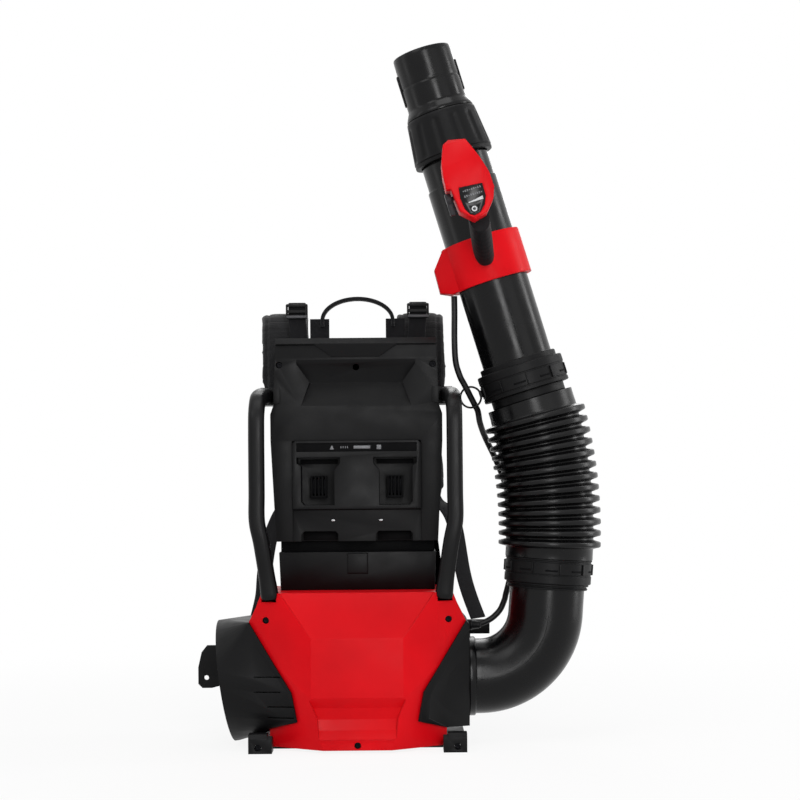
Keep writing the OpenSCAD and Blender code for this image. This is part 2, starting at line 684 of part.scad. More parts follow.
module battery_tray() {
    front = -bat_front - 4;
    color(black) difference() {
        union() {
            prism_y(flip([[tray_half_w - 4, tray_top], [tray_half_w, tray_top - 4], [tray_half_w,
                bat_low]]),
                front, tray_floor + 2);
        }
        both() {
            // The bay, with its wide slot on top and stepped inner side
            prism_y([[bay_outer, bay_low + bay_h], [bay_inner, bay_low + bay_h], [bay_inner,
                bay_low + bay_h - 8],
                [bay_inner + 8, bay_low + bay_h - 18], [bay_inner + 8, bay_low], [bay_outer - 10, bay_low],
                [bay_outer - 6, bay_low + 5], [bay_outer - 6, bay_low + bay_h - 12],
                [bay_outer, bay_low + bay_h - 8]], front - 1, tray_floor - 3);
            // The way out below each bay
            prism_y([[bay_outer - 6, bat_low - 1], [bay_inner + 3, bat_low - 1], [bay_inner + 3,
                bat_low + 10], [bay_inner + 7, bat_low + 14], [bay_outer - 10, bat_low + 14],
                [bay_outer - 6, bat_low + 10]], front - 1, tray_floor - 12);
            // Seat of the terminal block
            box([bay_pitch / 2 - term_w / 2 - seat, tray_floor - 6, term_z - seat],
                [bay_pitch / 2 + term_w / 2 + seat, tray_floor + 4, term_z + term_h + seat]);
            // Hole of the small latch button below each shelf
            translate([latch_x, front - 1, bat_low + 43]) rotate([-90, 0, 0]) cylinder(h = 4, r = 2);
        }
        // Hollows behind the middle and below the shelf
        box([-bay_inner + wall, front + 10, bat_low + wall], [bay_inner - wall, far,
            tray_top - 16 - wall]);
        both() box([bay_inner + wall, front + 10, bat_low + 17], [bay_outer - wall, far, shelf_z - wall]);
        // Sloped face between the shelf and the lower edge
        prism_x([[front - 1, shelf_z], [front + 6, shelf_z - 2], [front + 3, bat_low - 1], [front - 1,
            bat_low - 1]],
            -far, far);
        // Recess of the indicator strip
        box([-tray_half_w + 6, front - 1, tray_top - 15], [tray_half_w - 6, front + 2, tray_top - 3]);
    }
}
term_w = 22;
term_h = 30;
term_z = bay_low + 10;
module terminal_blocks() {
    color(black) both() difference() {
        box([bay_pitch / 2 - term_w / 2, tray_floor - 20, term_z],
            [bay_pitch / 2 + term_w / 2, tray_floor + 3, term_z + term_h]);
        for (i = [-1.5:1:1.5]) box([bay_pitch / 2 + i * 5 - 1.2, tray_floor - 21, term_z + 3],
            [bay_pitch / 2 + i * 5 + 1.2, tray_floor - 4, term_z + term_h + 1]);
    }
}
module battery_contacts() {
    color(copper) both() for (i = [-1.5:1:1.5])
        box([bay_pitch / 2 + i * 5 - 0.5, tray_floor - 16, term_z + 6],
            [bay_pitch / 2 + i * 5 + 0.5, tray_floor - 4, term_z + term_h - 4]);
}
module indicator_strip() {
    color(grey) box([-tray_half_w + 6 + seat, -bat_front - 3.4, tray_top - 15 + seat],
        [tray_half_w - 6 - seat, -bat_front - 2, tray_top - 3 - seat]);
}
module control_board() {
    color("darkgreen") {
        box([-70, split_y + 6, shoulder_z - 100], [70, split_y + 8, shoulder_z - 20]);
        for (x = [-50, 0, 50])
            box([x - 9, split_y - 4, shoulder_z - 70], [x + 9, split_y + 6 + eps, shoulder_z - 45]);
    }
    color("darkgreen") for (x = [-60, 60]) for (z = [shoulder_z - 90, shoulder_z - 30])
        translate([x, split_y + 8 - eps, z]) rotate([-90, 0, 0])
            cylinder(h = bat_back - wall - split_y - 8 - seat, r = 4);
}
loom_z = shoulder_z - 81;
loom_route = [[0, split_y + 8 + gap, loom_z], [0, split_y + 11, loom_z], [0, split_y + 14, loom_z],
    [0, split_y + 19, loom_z - 4], [0, loom_y, loom_z - 14], [0, loom_y, loom_z - 58],
    [0, loom_y, bat_low + 18], [0, loom_y, bat_low - 32], [0, loom_y + 4, housing_top],
    [0, loom_y + 8, controller_top + 20], [0, loom_y + 8, controller_top + gap]];
module wiring_loom() { color(black) oval_tube(spline(loom_route, 3), 2 * loom_r, 2 * loom_r, [1, 0, 0],
    8); }

// ---- Roll bars ----
bar_half = bat_half_w + bar_clear;
foot_x = top_half_w - 12;
foot_y = -80;
bar_front = -92;
bar_route = [[foot_x, foot_y, housing_top - 9], [foot_x + 2, foot_y - 2, housing_top + 10],
    [bar_half - 6, bar_front + 2, 280], [bar_half, bar_front, 312], [bar_half, bar_front, 350],
    [bar_half, bar_front + 2, shoulder_z - 66], [bar_half, bar_front + 10, shoulder_z - 27],
    [bar_half - 1, bar_front + 32, shoulder_z - 6],
    [bar_half - 4, bar_front + 56, shoulder_z - 1], [bar_end_x, bar_end_y - 10, shoulder_z],
    [bar_end_x, bar_end_y - 5, shoulder_z], [bar_end_x, bar_end_y, shoulder_z]];
module roll_bar(s) {
    color(black) mirror([s < 0 ? 1 : 0, 0, 0]) {
        oval_tube(spline(bar_route, 3), bar_d, bar_d, [0, 1, 0.2], 16);
    }
}
module roll_bar_left() { roll_bar(-1); }
module roll_bar_right() { roll_bar(1); }

// ---- Harness ----
frame_y = bat_back + seat;
frame_t = 5;
frame_waist = bat_half_w - 19;
frame_wide = corner_half_w - 16;
frame_outline = flip([[bat_half_w - 47, bat_top - 4], [bat_half_w - 7, bat_top - 20], [bat_half_w - 3,
    shoulder_z],
    [frame_waist, tray_top - 1], [frame_waist, housing_top + 16], [frame_wide - 16, corner_z + 16],
    [frame_wide, corner_z - 24], [frame_wide, foot_h + 14], [foot_half_w - 13, foot_h - 2]]);
module back_frame() {
    color(black) difference() {
        union() {
            prism_y(frame_outline, frame_y, frame_y + frame_t);
            both() box([frame_waist - 6, frame_y, corner_z + 22],
                [frame_waist - 1, frame_y + 10, shoulder_z - 29]);
        }
        for (z = [housing_top + 16, bay_low - 2]) both()
            prism_y([[12, z], [frame_waist - 22, z], [frame_waist - 22, z + 84], [12, z + 84]], 0, far);
    }
}
pad_y = frame_y + frame_t + gap;
bracket_out = frame_wide + 104;
bracket_hole_r = 3.5;
module side_bracket() {
    color(black) difference() {
        prism_y([[-skid_out - 20, corner_z - 46], [-bracket_out + 13, corner_z - 46], [-bracket_out + 5,
            corner_z - 56], [-bracket_out, seam_z + 16], [-bracket_out, seam_z - 8], [-bracket_out + 6,
            seam_z - 14], [-bracket_out + 20, seam_z - 14], [-skid_out, seam_z + 4],
            [-frame_wide + 22, seam_z + 4], [-frame_wide + 22, corner_z - 46]],
            frame_y + frame_t + seat, frame_y + frame_t + 6);
        translate([-bracket_out + 12, 0, seam_z + 1]) rotate([-90, 0, 0]) cylinder(h = far,
            r = bracket_hole_r);
    }
}
// Carry loop: lowest point of its legs, its half width, rise and thickness
handle_z = bat_top - 34;
handle_leg = 70;
handle_half = 54;
handle_rise = 34;
loop_t = 5.5;
module carry_handle() {
    top = handle_z + handle_leg;
    outer = [for (a = [0:10:180]) [handle_half * cos(a), top + handle_rise * sin(a)]];
    inner = [for (a = [180:-10:0]) [(handle_half - loop_t) * cos(a),
        top + (handle_rise - loop_t) * sin(a)]];
    color(black) {
        prism_y(concat(outer, inner), pad_y - 6, pad_y + 16);
        both() box([handle_half - 13, pad_y, handle_z], [handle_half + 10, pad_y + 2, top + 2]);
        both() box([handle_half - loop_t, pad_y - 4, top - 10], [handle_half, pad_y + 7, top + eps]);
    }
}
module back_pad() {
    low = housing_top - 4;
    high = bat_top - 67;
    route = [for (i = [0:11]) [0, pad_y + back_pad_t / 2, low + i * (high - low) / 11]];
    color(black) pad(route, back_pad_w, back_pad_t, [1, 0, 0], 0.1);
}
module lumbar_pad() {
    low = foot_h + 16;
    high = corner_z + 1;
    route = [for (i = [0:7]) [0, pad_y + back_pad_t / 2 + 2, low + i * (high - low) / 7]];
    color(black) pad(route, lumbar_w, back_pad_t + 4, [1, 0, 0], 0.15);
}
pad_path = [[pad_y + 0.2 * pad_t, bat_top - 75], [pad_y + 0.9 * pad_t, bat_top - 49], [pad_y + 20,
    bat_top - 13], [pad_y + 36, bat_top + 28], [pad_y + 68, bat_top + 46], [pad_y + 104, bat_top + 20],
    [pad_y + 124, bat_top - 43], [pad_y + 126, bat_top - 113], [pad_y + 116, bat_top - 183],
    [pad_y + 100, bat_top - 226]];
// The pads hang unevenly: how far each one's middle line leaves pad_half
pad_sway = [[-3, -3, -3, -4, -4, -5, -5, -4, 2, 6], [8, 9, 11, 13, 14, 13, 8, 6, 8, 10]];
function pad_route(s) = [for (k = [0:9]) [pad_half + pad_sway[s < 0 ? 1 : 0][k], pad_path[k][0],
    pad_path[k][1]]];
module shoulder_pad(s) {
    color(black) mirror([s < 0 ? 1 : 0, 0, 0]) pad(spline(pad_route(s), 2), pad_w, pad_t, [1, 0, 0], 0.2);
}
module shoulder_pad_left() { shoulder_pad(-1); }
module shoulder_pad_right() { shoulder_pad(1); }
buckle_z = bat_top + 49;
web_y = pad_y + web_t / 2;
lifter_route = [[84, web_y, buckle_z - 86], [84, web_y, buckle_z - 60], [86, web_y, buckle_z - 32],
    [88, web_y, buckle_z - 9], [88, web_y, buckle_z + 3], [88, web_y + 1, buckle_z + 9],
    [88, web_y + 8, buckle_z + 12], [89, web_y + 26, buckle_z + 9], [92, web_y + 56, buckle_z + 4]];
module lifter_straps() { color(black) both() strap(spline(lifter_route, 3), web_w, web_t, [1, 0, 0]); }
module strap_buckles() {
    color(black) both() difference() {
        box([72, pad_y - gap - 5, buckle_z - 11], [104, pad_y - gap, buckle_z + 11]);
        box([75, pad_y - 7, buckle_z - 7], [101, pad_y, buckle_z - 2]);
        box([75, pad_y - 7, buckle_z + 2], [101, pad_y, buckle_z + 7]);
    }
}
anchor = [corner_half_w + 24, frame_y + frame_t + 4, corner_z - 18];
// The lower straps, right and left, from pad to anchor
pad_end = [pad_half, pad_y, bat_top - 229];
lower_right = [pad_end + [19, 92, 0], pad_end + [34, 77, -12], pad_end + [46, 60, -38],
    pad_end + [56, 41, -101], [anchor[0] - 12.5, anchor[1] + 16, anchor[2] + 43], anchor + [0, 0, 8]];
anchor_left = anchor - [22, 0, -2];
lower_left = [pad_end + [15, 92, 0], pad_end + [27, 77, -20], pad_end + [39, 60, -54],
    pad_end + [46, 41, -101], [anchor_left[0] - 7, anchor_left[1] + 16, anchor_left[2] + 41],
    anchor_left + [0, 0, 8]];
module lower_straps() {
    color(black) {
        strap(spline(lower_right, 3), web_w, web_t, [1, 0.5, 0]);
        mirror([1, 0, 0]) strap(spline(lower_left, 3), web_w, web_t, [1, 0.5, 0]);
    }
}
module strap_anchor(p, out) {
    difference() {
        union() {
            box([p[0] - 40, frame_y + frame_t + seat, p[2] - 22], [p[0] - 12, p[1] + 8, p[2] - 2]);
            box([p[0] - 18, p[1] - 8, p[2] - 14], [p[0] + out, p[1] + 8, p[2] + 6]);
        }
        box([p[0] - 14, p[1] - 3, p[2] - 6], [p[0] + 13, p[1] + 3, p[2] + 14]);
    }
}
module strap_anchors() {
    color(black) {
        strap_anchor(anchor, 16);
        mirror([1, 0, 0]) strap_anchor(anchor_left, 42);
    }
}
module housing_screws() {
    color(silver) {
        both() screw(screw_x, facet_y(screw_x) + 4, screw_z, 16);
        screw(0, lip_y + 3, housing_bottom + 6.5, 14);
        both() screw(bat_half_w - 5, -bat_front - 3, bat_top - 37, 16);
        both() screw(skid_in + 13, -front_y + 6, 8, 14);
    }
}

// ---- Elbow and hose ----
bend_start = outlet_x + 16;
bend_turn = 90 - elbow_lean;
elbow_bore = elbow_d - 2 * elbow_wall - (elbow_d - spigot_d);
// Extra wall, inside and out, where a straight stretch meets the bend
lip = 0.5;
module outlet_elbow() {
    color(black) union() {
        on_fan_axis(outlet_x - 24) difference() {
            union() {
                cylinder(h = 41, d = spigot_d);
                translate([0, 0, 24 + gap]) cylinder(h = 17 - gap, d = elbow_d + 6);
            }
            translate([0, 0, -1]) cylinder(h = 43, d = elbow_bore - 2 * lip);
        }
        translate([bend_start, 0, fan_z + bend_r]) rotate([90, 0, 0]) rotate([0, 0, -90])
            rotate_extrude(angle = bend_turn) translate([bend_r, 0]) difference() {
                circle(d = elbow_d);
                circle(d = elbow_bore);
            }
        elbow_end() translate([0, 0, -1]) ring(elbow_d / 2 + lip, elbow_bore / 2 - lip, neck_len + 1);
    }
}
module elbow_end() {
    translate([bend_start, 0, fan_z + bend_r]) rotate([0, elbow_lean, 0]) translate([bend_r, 0,
        0]) children();
}
hose_c = cos(elbow_lean);
hose_s = sin(elbow_lean);
hose_start = [bend_start + bend_r * hose_c + (neck_len + collar_len) * hose_s, 0,
    fan_z + bend_r - bend_r * hose_s + (neck_len + collar_len) * hose_c];
hose_turn = elbow_lean + tube_lean;
hose_r = hose_len * 180 / PI / hose_turn;
hose_centre = hose_start + hose_r * [-hose_c, 0, hose_s];
module lower_hose_collar() {
    color(black) elbow_end() difference() {
        union() {
            translate([0, 0, neck_len - 8]) cylinder(h = 3, d = elbow_d + 8);
            translate([0, 0, neck_len - 3]) cylinder(h = 3, d = elbow_d + 11);
            translate([0, 0, neck_len - 8]) cylinder(h = 10, d = elbow_d + 5);
            translate([0, 0, neck_len]) cylinder(h = collar_len, d = root_d - 1);
        }
        translate([0, 0, neck_len - 9]) cylinder(h = 9 + seat, d = elbow_d + 2 * lip + 2 * seat);
        translate([0, 0, neck_len]) cylinder(h = collar_len + 1, d = elbow_d - 8);
        for (a = [0:45:315]) rotate(a) translate([root_d / 2 - 3, -7, neck_len + 8]) cube([5, 14, 2]);
    }
}
// A point of the hose wall: s along the hose, radius r, at angle a round it
function hose_point(s, r, a) = let (lean = elbow_lean - hose_turn * s / hose_len,
    out = [cos(lean), 0, -sin(lean)])
    hose_centre + (hose_r + r * cos(a)) * out + [0, r * sin(a), 0];
rib_pitch = (hose_len - 34) / rib_count;
rib_start = 14;
function rib_rings(i) = let (s = rib_start + i * rib_pitch)
    [[s, root_d / 2], [s + rib_pitch * 0.28, rib_d / 2], [s + rib_pitch * 0.62, rib_d / 2],
        [s + rib_pitch * 0.9, root_d / 2]];
hose_sides = 20;
module hose_piece(first, last) {
    from = first == 0 ? gap : rib_start + (first - 0.05) * rib_pitch + gap / 2;
    to = last == rib_count - 1 ? hose_len - gap : rib_start + (last + 0.95) * rib_pitch - gap / 2;
    outer = concat([[from, root_d / 2]], [for (i = [first:last]) for (q = rib_rings(i)) q], [[to,
        root_d / 2]]);
    steps = 2 + ceil((last - first) / 2);
    inner = [for (k = [0:steps]) [to + (from - to) * k / steps, hose_bore / 2]];
    rings = concat(outer, inner);
    m = len(rings);
    n = hose_sides;
    color(black) polyhedron(
        points = [for (q = rings) for (j = [0:n - 1]) hose_point(q[0], q[1], 360 * j / n)],
        faces = [for (k = [0:m - 1]) for (j = [0:n - 1]) for (h = [0, 1])
            let (a = k * n + j, b = k * n + (j + 1) % n, c = ((k + 1) % m) * n + j,
                d = ((k + 1) % m) * n + (j + 1) % n)
            h == 0 ? [a, c, b] : [b, c, d]]);
}
mid_first = floor(rib_count / 2) - 1;
mid_last = mid_first + 2;
module hose_lower() { hose_piece(0, mid_first - 1); }
module hose_middle() { hose_piece(mid_first, mid_last); }
module hose_upper() { hose_piece(mid_last + 1, rib_count - 1); }

// ---- Blower tube: X across, Y through, Z along its axis from the hose's end ----
tube_origin = hose_centre + hose_r * [cos(tube_lean), 0, sin(tube_lean)];
module on_tube(s) { translate(tube_origin) rotate([0, -tube_lean, 0]) translate([0, 0, s]) children(); }
collar_start = 12;
collar_top = collar_start + collar_len + 4;
module upper_hose_collar() {
    color(black) on_tube(0) difference() {
        union() {
            cylinder(h = collar_start + 2, d = tube_d + 6);
            translate([0, 0, collar_start]) cylinder(h = collar_top - collar_start, d = root_d);
            translate([0, 0, collar_top - eps]) cylinder(h = 8, d = tube_d + 10);
        }
        translate([0, 0, -1]) cylinder(h = far, d = tube_d + 2 * gap);
        for (a = [22.5:45:360]) rotate(a) translate([root_d / 2 - 3, -8, collar_start + 12]) cube([5, 16,
            2]);
    }
}
// A thin wire loop beside the collar, in a plane that faces the front
loop_r = 14.5;
wire_r = 1.4;
loop_x = -root_d / 2 - loop_r - 2;
loop_s = collar_start + 16;
module cable_guide() {
    color(black) on_tube(loop_s) union() {
        translate([loop_x, 0, 0]) rotate([90, 0, 0]) rotate_extrude()
            translate([loop_r, 0]) circle(r = wire_r, $fn = 24);
        difference() {
            translate([-root_d / 2 - 4, -4, -5]) cube([10, 8, 10]);
            translate([0, 0, -20]) cylinder(h = 60, r = root_d / 2 + seat);
        }
    }
}
tube_bottom = 6;
// Above this place the tube is slimmer
tube_step = tube_top - 34;
step_d = tube_d - 4;
spigot_len = 18;
module main_tube() {
    color(black) on_tube(0) difference() {
        union() {
            translate([0, 0, tube_bottom]) cylinder(h = tube_step - tube_bottom, d = tube_d);
            translate([0, 0, tube_step - eps]) cylinder(h = tube_top - tube_step, d = step_d);
            translate([0, 0, tube_top - eps]) cylinder(h = spigot_len, d = nozzle_d + 6);
        }
        cylinder(h = tube_step - 10, d = tube_d - 2 * tube_wall);
        cylinder(h = tube_top - 10, d = step_d - 2 * tube_wall);
        cylinder(h = tube_top + far, d = nozzle_d - 2);
    }
}
nut_low_d = 112;
nut_top_d = 98;
nozzle_base = tube_top + spigot_len + seat;
nut_base = tube_top + 2;
module coupling_nut() {
    color(black) on_tube(nut_base) difference() {
        union() {
            cylinder(h = 6, d = nut_low_d - 2);
            translate([0, 0, 5]) cylinder(h = nut_len - 5, d1 = nut_low_d, d2 = nut_top_d);
        }
        translate([0, 0, -1]) cylinder(h = spigot_len, d = nozzle_d + 6 + 2 * gap);
        translate([0, 0, spigot_len - 3]) cylinder(h = 10, d = nozzle_d + 12 + 2 * gap);
        translate([0, 0, spigot_len - 3]) cylinder(h = far, d = nozzle_d + 2 * gap);
        for (a = [0:30:330]) rotate(a) translate([nut_low_d / 2 + 1.5, 0, 12]) rotate([0, -6, 0])
            cylinder(h = nut_len - 20, r = 4);
    }
}
nozzle_top = nut_base + nut_len + nozzle_len;
module nozzle_end() {
    color(black) on_tube(0) difference() {
        union() {
            translate([0, 0, nozzle_base]) cylinder(h = nozzle_top - nozzle_base, d = nozzle_d);
            translate([0, 0, nozzle_base]) cylinder(h = 7, d = nozzle_d + 12);
            translate([0, 0, nut_base + nut_len + gap]) cylinder(h = 12, d1 = nut_top_d - 2,
                d2 = nozzle_d + 2);
            for (a = [0, 180]) rotate(a) translate([nozzle_d / 2 - 2, -5, nut_base + nut_len + 24])
                cube([4, 10, nozzle_len - 44]);
        }
        translate([0, 0, nozzle_base - 1]) cylinder(h = far, d = nozzle_d - 5);
    }
}

// ---- Handle ----
clamp_r = tube_d / 2 + 7;
// Place of the grip across the tube, and of its foot above the clamp's middle
grip_x = -5;
grip_foot = 6;
// The lug beside the tube: its outline from the front, and the two halves' outlines from above
lug_front = [[-38, 31], [-55, 31], [-73.5, 9], [-75, -24], [-61, -31], [-38, -31]];
lug_halves = [[[-38, -36], [-50, -26], [-75, -9], [-75, -2], [-38, -2]], [[-40, 30], [-54, 12],
    [-75, 12], [-75, 2], [-40, 2]]];
lug_x = -clamp_r - 8.2;
module clamp_half(s) {
    difference() {
        union() {
            cylinder(h = clamp_len, r = clamp_r, center = true);
            intersection() {
                prism_y(lug_front, -far, far);
                prism_z(lug_halves[s < 0 ? 0 : 1], -far, far);
            }
            if (s < 0) translate([grip_x, -clamp_r + 8, grip_foot]) rotate([90, 0, 0])
                cylinder(h = 14, d = 26);
        }
        cylinder(h = far, d = tube_d + 2 * seat, center = true);
        translate([-far / 2, s < 0 ? -0.5 : -far + 0.5, -far / 2]) cube([far, far, far]);
        for (z = [-14, 10]) translate([lug_x, -10, z]) rotate([-90, 0, 0]) cylinder(h = 60, r = 2.2);
    }
}
module clamp_front() { color(red) on_tube(clamp_s) clamp_half(-1); }
module clamp_rear() { color(red) on_tube(clamp_s) clamp_half(1); }
module clamp_screws() {
    color(silver) on_tube(clamp_s) for (z = [-14, 10]) translate([lug_x, 16, z]) rotate([90, 0, 0]) {
        cylinder(h = 4, r = 4);
        cylinder(h = 25, r = 2);
    }
}
head_back = -grip_reach + 2;
grip_low = [grip_x, -clamp_r - 6 - seat, clamp_s + grip_foot];
grip_high = [grip_x, head_back + seat, clamp_s + 43];
module grip() {
    route = [for (k = [0:7]) grip_low + (grip_high - grip_low) * k / 7];
    color(black) on_tube(0) pad_grip(route);
}
module pad_grip(route) {
    skin([for (i = [0:7]) let (f = i == 3 ? 1.04 : 1)
        [for (j = [0:19]) let (a = 18 * j)
            route[i] + [grip_w / 2 * f * sign(cos(a)) * pow(abs(cos(a)), 0.8), 0,
                grip_depth / 2 * f * sign(sin(a)) * pow(abs(sin(a)), 0.8)]]]);
}
head_s = clamp_s + 97;
head_outline = [[-24, 45], [-15, 50], [6, 44], [10, 33], [17, 11], [22, -8], [22.5, -28], [17, -42], [5, -56],
    [-13, -60.5], [-29, -45], [-31.5, -15], [-38, -13], [-36.5, 5], [-33.5, 21]];
head_front = head_back - head_t;
module control_head() {
    color(red) on_tube(head_s) difference() {
        intersection() {
            prism_y(head_outline, head_front, head_back);
            prism_x([[head_front, -57], [head_front + 5, -62], [head_back, -62], [head_back, 46],
                [head_front + 22, 52], [head_front + 12, 44], [head_front, 14]], -far, far);
        }
        intersection() {
            prism_y(inset(head_outline, wall), head_front + wall + 6, head_back - wall);
            prism_x([[head_front + wall, -62], [head_back, -62], [head_back, 40], [head_front + 20, 40],
                [head_front + wall + 6, 10]], -far, far);
        }
        prism_y(display_outline, head_front - 1, head_front + 4);
        button_hole();
        translate([0, trigger_y, trigger_s]) rotate([0, 90, 0]) cylinder(h = 80, r = 2.5 + seat,
            center = true);
        box([-9, trigger_y - 8, trigger_s - 16], [9, head_back + 1, trigger_s + 18]);
        translate([-50, lever_y, lever_s]) rotate([0, 90, 0]) cylinder(h = 60, r = 3 + seat);
    }
}
display_outline = [[-22, -16], [9, -19], [8.5, -36], [4, -46], [-4, -54], [-12, -56], [-18, -53], [-22.5, -44],
    [-24, -30]];
button_x = -10.5;
button_s = -48;
button_r = 4;
module display_panel() {
    color(black) on_tube(head_s) difference() {
        prism_y(inset(display_outline, seat), head_front - 0.6, head_front + 4 - seat);
        button_hole();
    }
}
module button_hole() {
    translate([button_x, head_front - 2, button_s]) rotate([-90, 0, 0]) cylinder(h = 20,
        r = button_r + gap);
}
module power_button() {
    color(silver) on_tube(head_s) translate([button_x, head_front - 2.2, button_s]) rotate([-90, 0, 0])
        cylinder(h = 7, r = button_r);
}
trigger_y = head_back - 10;
trigger_s = -6;
module throttle_trigger() {
    color(black) on_tube(head_s) {
        translate([-35, trigger_y, trigger_s]) rotate([0, 90, 0]) cylinder(h = 56, r = 2.5);
        translate([0, trigger_y, trigger_s]) rotate([0, 90, 0]) cylinder(h = 12, r = 6, center = true);
        prism_x([[trigger_y - 5, trigger_s - 3], [trigger_y + 4, trigger_s - 5],
            [trigger_y + 30, trigger_s - 12], [trigger_y + 50, trigger_s - 6], [trigger_y + 50,
                trigger_s - 2],
            [trigger_y + 28, trigger_s - 4], [trigger_y + 10, trigger_s + 4], [trigger_y,
                trigger_s + 5]], -6, 6);
    }
}
lever_y = head_back - 16;
lever_s = -24;
module cruise_lever() {
    color(black) on_tube(head_s) {
        translate([-40, lever_y, lever_s]) rotate([0, 90, 0]) cylinder(h = 24, r = 3);
        translate([-41, lever_y, lever_s]) rotate([0, 90, 0]) cylinder(h = 7, r = 8);
        translate([-41, lever_y - 5, lever_s - 21]) cube([7, 10, 21]);
    }
}

// ---- Handle cable ----
// A point by the tube: x across, y through, s along its axis
function tube_at(x, y, s) = tube_origin + x * [cos(tube_lean), 0, sin(tube_lean)] + [0, y, 0]
    + s * [-sin(tube_lean), 0, cos(tube_lean)];
// A point by the hose: x outwards from its middle line, s along it
function hose_at(x, y, s) = let (lean = elbow_lean - hose_turn * s / hose_len)
    hose_centre + (hose_r + x) * [cos(lean), 0, -sin(lean)] + [0, y, 0];
rib_r = rib_d / 2;
clamp_low = clamp_s - clamp_len / 2;
handle_route = [tube_at(-clamp_r - 1.1, 0, clamp_low - 1.6), tube_at(-clamp_r - 7.6, 0, clamp_low - 23.7),
    tube_at(-clamp_r - 19.6, -3, (loop_s + clamp_low) / 2 + 10.1), tube_at(loop_x - 5.7, -8, loop_s + 53),
    tube_at(loop_x - 6.2, -10.9, loop_s + 32.9), tube_at(loop_x - 4.2, -8.1, loop_s + 22)];
cable_join = hose_start + [-57.2, 66, -55.3];
hose_route = [tube_at(loop_x - 4, -7.9, loop_s + 21.2), tube_at(loop_x - 2, -5.2, loop_s + 10.8),
    tube_at(loop_x + 0.1, 0, loop_s), tube_at(loop_x + 2.3, 5.2, loop_s - 10.8),
    tube_at(loop_x + 4.3, 14, loop_s - 21.5), hose_at(-rib_r - 2.6, rib_r - 37.5, hose_len - 10.8),
    hose_at(-rib_r + 0.3, rib_r - 11.5, hose_len - 34), hose_at(-rib_r + 8.3, rib_r + 10.5, 0.7 * hose_len),
    hose_at(-rib_r + 16.8, rib_r + 16.5, 0.52 * hose_len), hose_at(-rib_r + 23.4, rib_r + 16.5,
        0.32 * hose_len),
    hose_at(-rib_r + 26.9, rib_r + 14.5, 0.13 * hose_len), hose_start + [-45.2, 78, -5.3],
    hose_start + [-51.2, 70, -33.3], cable_join];
pack_route = [cable_join + [-0.1, -0.1, -0.4], cable_join + [-2.1, -1.4, -7.7],
    [outlet_x + 48, gland_y + 3, gland_z + 20], [outlet_x + 35, gland_y + 1, gland_z + 8],
    [outlet_x + 19, gland_y, gland_z + 1], [outlet_x + 11, gland_y, gland_z], [outlet_x + gap, gland_y,
        gland_z]];
module cable(route) { color(black) oval_tube(spline(route, 3), cable_d, cable_d, [0, 1, 0.1], 8); }
module handle_cable() { cable(handle_route); }
module hose_cable() { cable(hose_route); }
module pack_cable() { cable(pack_route); }

fan_housing();
rear_cover();
intake_cover();
intake_grille();
outlet_cover();
fan_duct();
impeller();
motor_shaft();
motor_rotor();
motor_can();
motor_stator();
guide_vanes();
motor_bearings();
motor_controller();
base_frame();
neck_cover();
battery_housing();
battery_housing_back();
battery_tray();
terminal_blocks();
battery_contacts();
indicator_strip();
control_board();
wiring_loom();
roll_bar_left();
roll_bar_right();
back_frame();
side_bracket();
carry_handle();
back_pad();
lumbar_pad();
shoulder_pad_left();
shoulder_pad_right();
lifter_straps();
strap_buckles();
lower_straps();
strap_anchors();
housing_screws();
outlet_elbow();
lower_hose_collar();
hose_lower();
hose_middle();
hose_upper();
upper_hose_collar();
cable_guide();
main_tube();
nozzle_end();
coupling_nut();
clamp_front();
clamp_rear();
clamp_screws();
grip();
control_head();
display_panel();
power_button();
throttle_trigger();
cruise_lever();
handle_cable();
hose_cable();
pack_cable();
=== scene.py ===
import json
import math
import bpy
import bmesh
from mathutils import Matrix, Vector
from mathutils.bvhtree import BVHTree

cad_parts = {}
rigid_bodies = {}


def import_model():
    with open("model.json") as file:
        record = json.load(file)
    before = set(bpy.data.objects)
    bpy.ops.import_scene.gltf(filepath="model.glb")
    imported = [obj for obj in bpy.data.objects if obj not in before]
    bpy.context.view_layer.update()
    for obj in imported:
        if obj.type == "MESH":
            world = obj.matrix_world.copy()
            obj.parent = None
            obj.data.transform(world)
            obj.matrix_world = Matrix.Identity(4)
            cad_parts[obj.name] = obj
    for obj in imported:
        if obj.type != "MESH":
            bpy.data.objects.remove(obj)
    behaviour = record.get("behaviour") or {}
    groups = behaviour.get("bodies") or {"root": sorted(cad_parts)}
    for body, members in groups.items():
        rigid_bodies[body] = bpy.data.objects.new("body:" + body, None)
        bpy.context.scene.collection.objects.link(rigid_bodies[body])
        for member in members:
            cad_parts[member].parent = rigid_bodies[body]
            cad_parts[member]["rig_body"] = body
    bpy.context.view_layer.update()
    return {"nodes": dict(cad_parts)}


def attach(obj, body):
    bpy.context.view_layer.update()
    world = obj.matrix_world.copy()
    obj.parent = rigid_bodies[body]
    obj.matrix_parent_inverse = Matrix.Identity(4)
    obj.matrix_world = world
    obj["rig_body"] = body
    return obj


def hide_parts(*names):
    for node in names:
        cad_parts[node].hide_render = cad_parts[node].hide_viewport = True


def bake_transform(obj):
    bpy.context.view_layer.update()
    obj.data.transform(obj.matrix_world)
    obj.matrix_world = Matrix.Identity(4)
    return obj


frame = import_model()
nodes = frame["nodes"]

MM = 0.001
X, Y = Vector((1, 0, 0)), Vector((0, 1, 0))
LEFT_RIGHT = (("left", -1), ("right", 1))

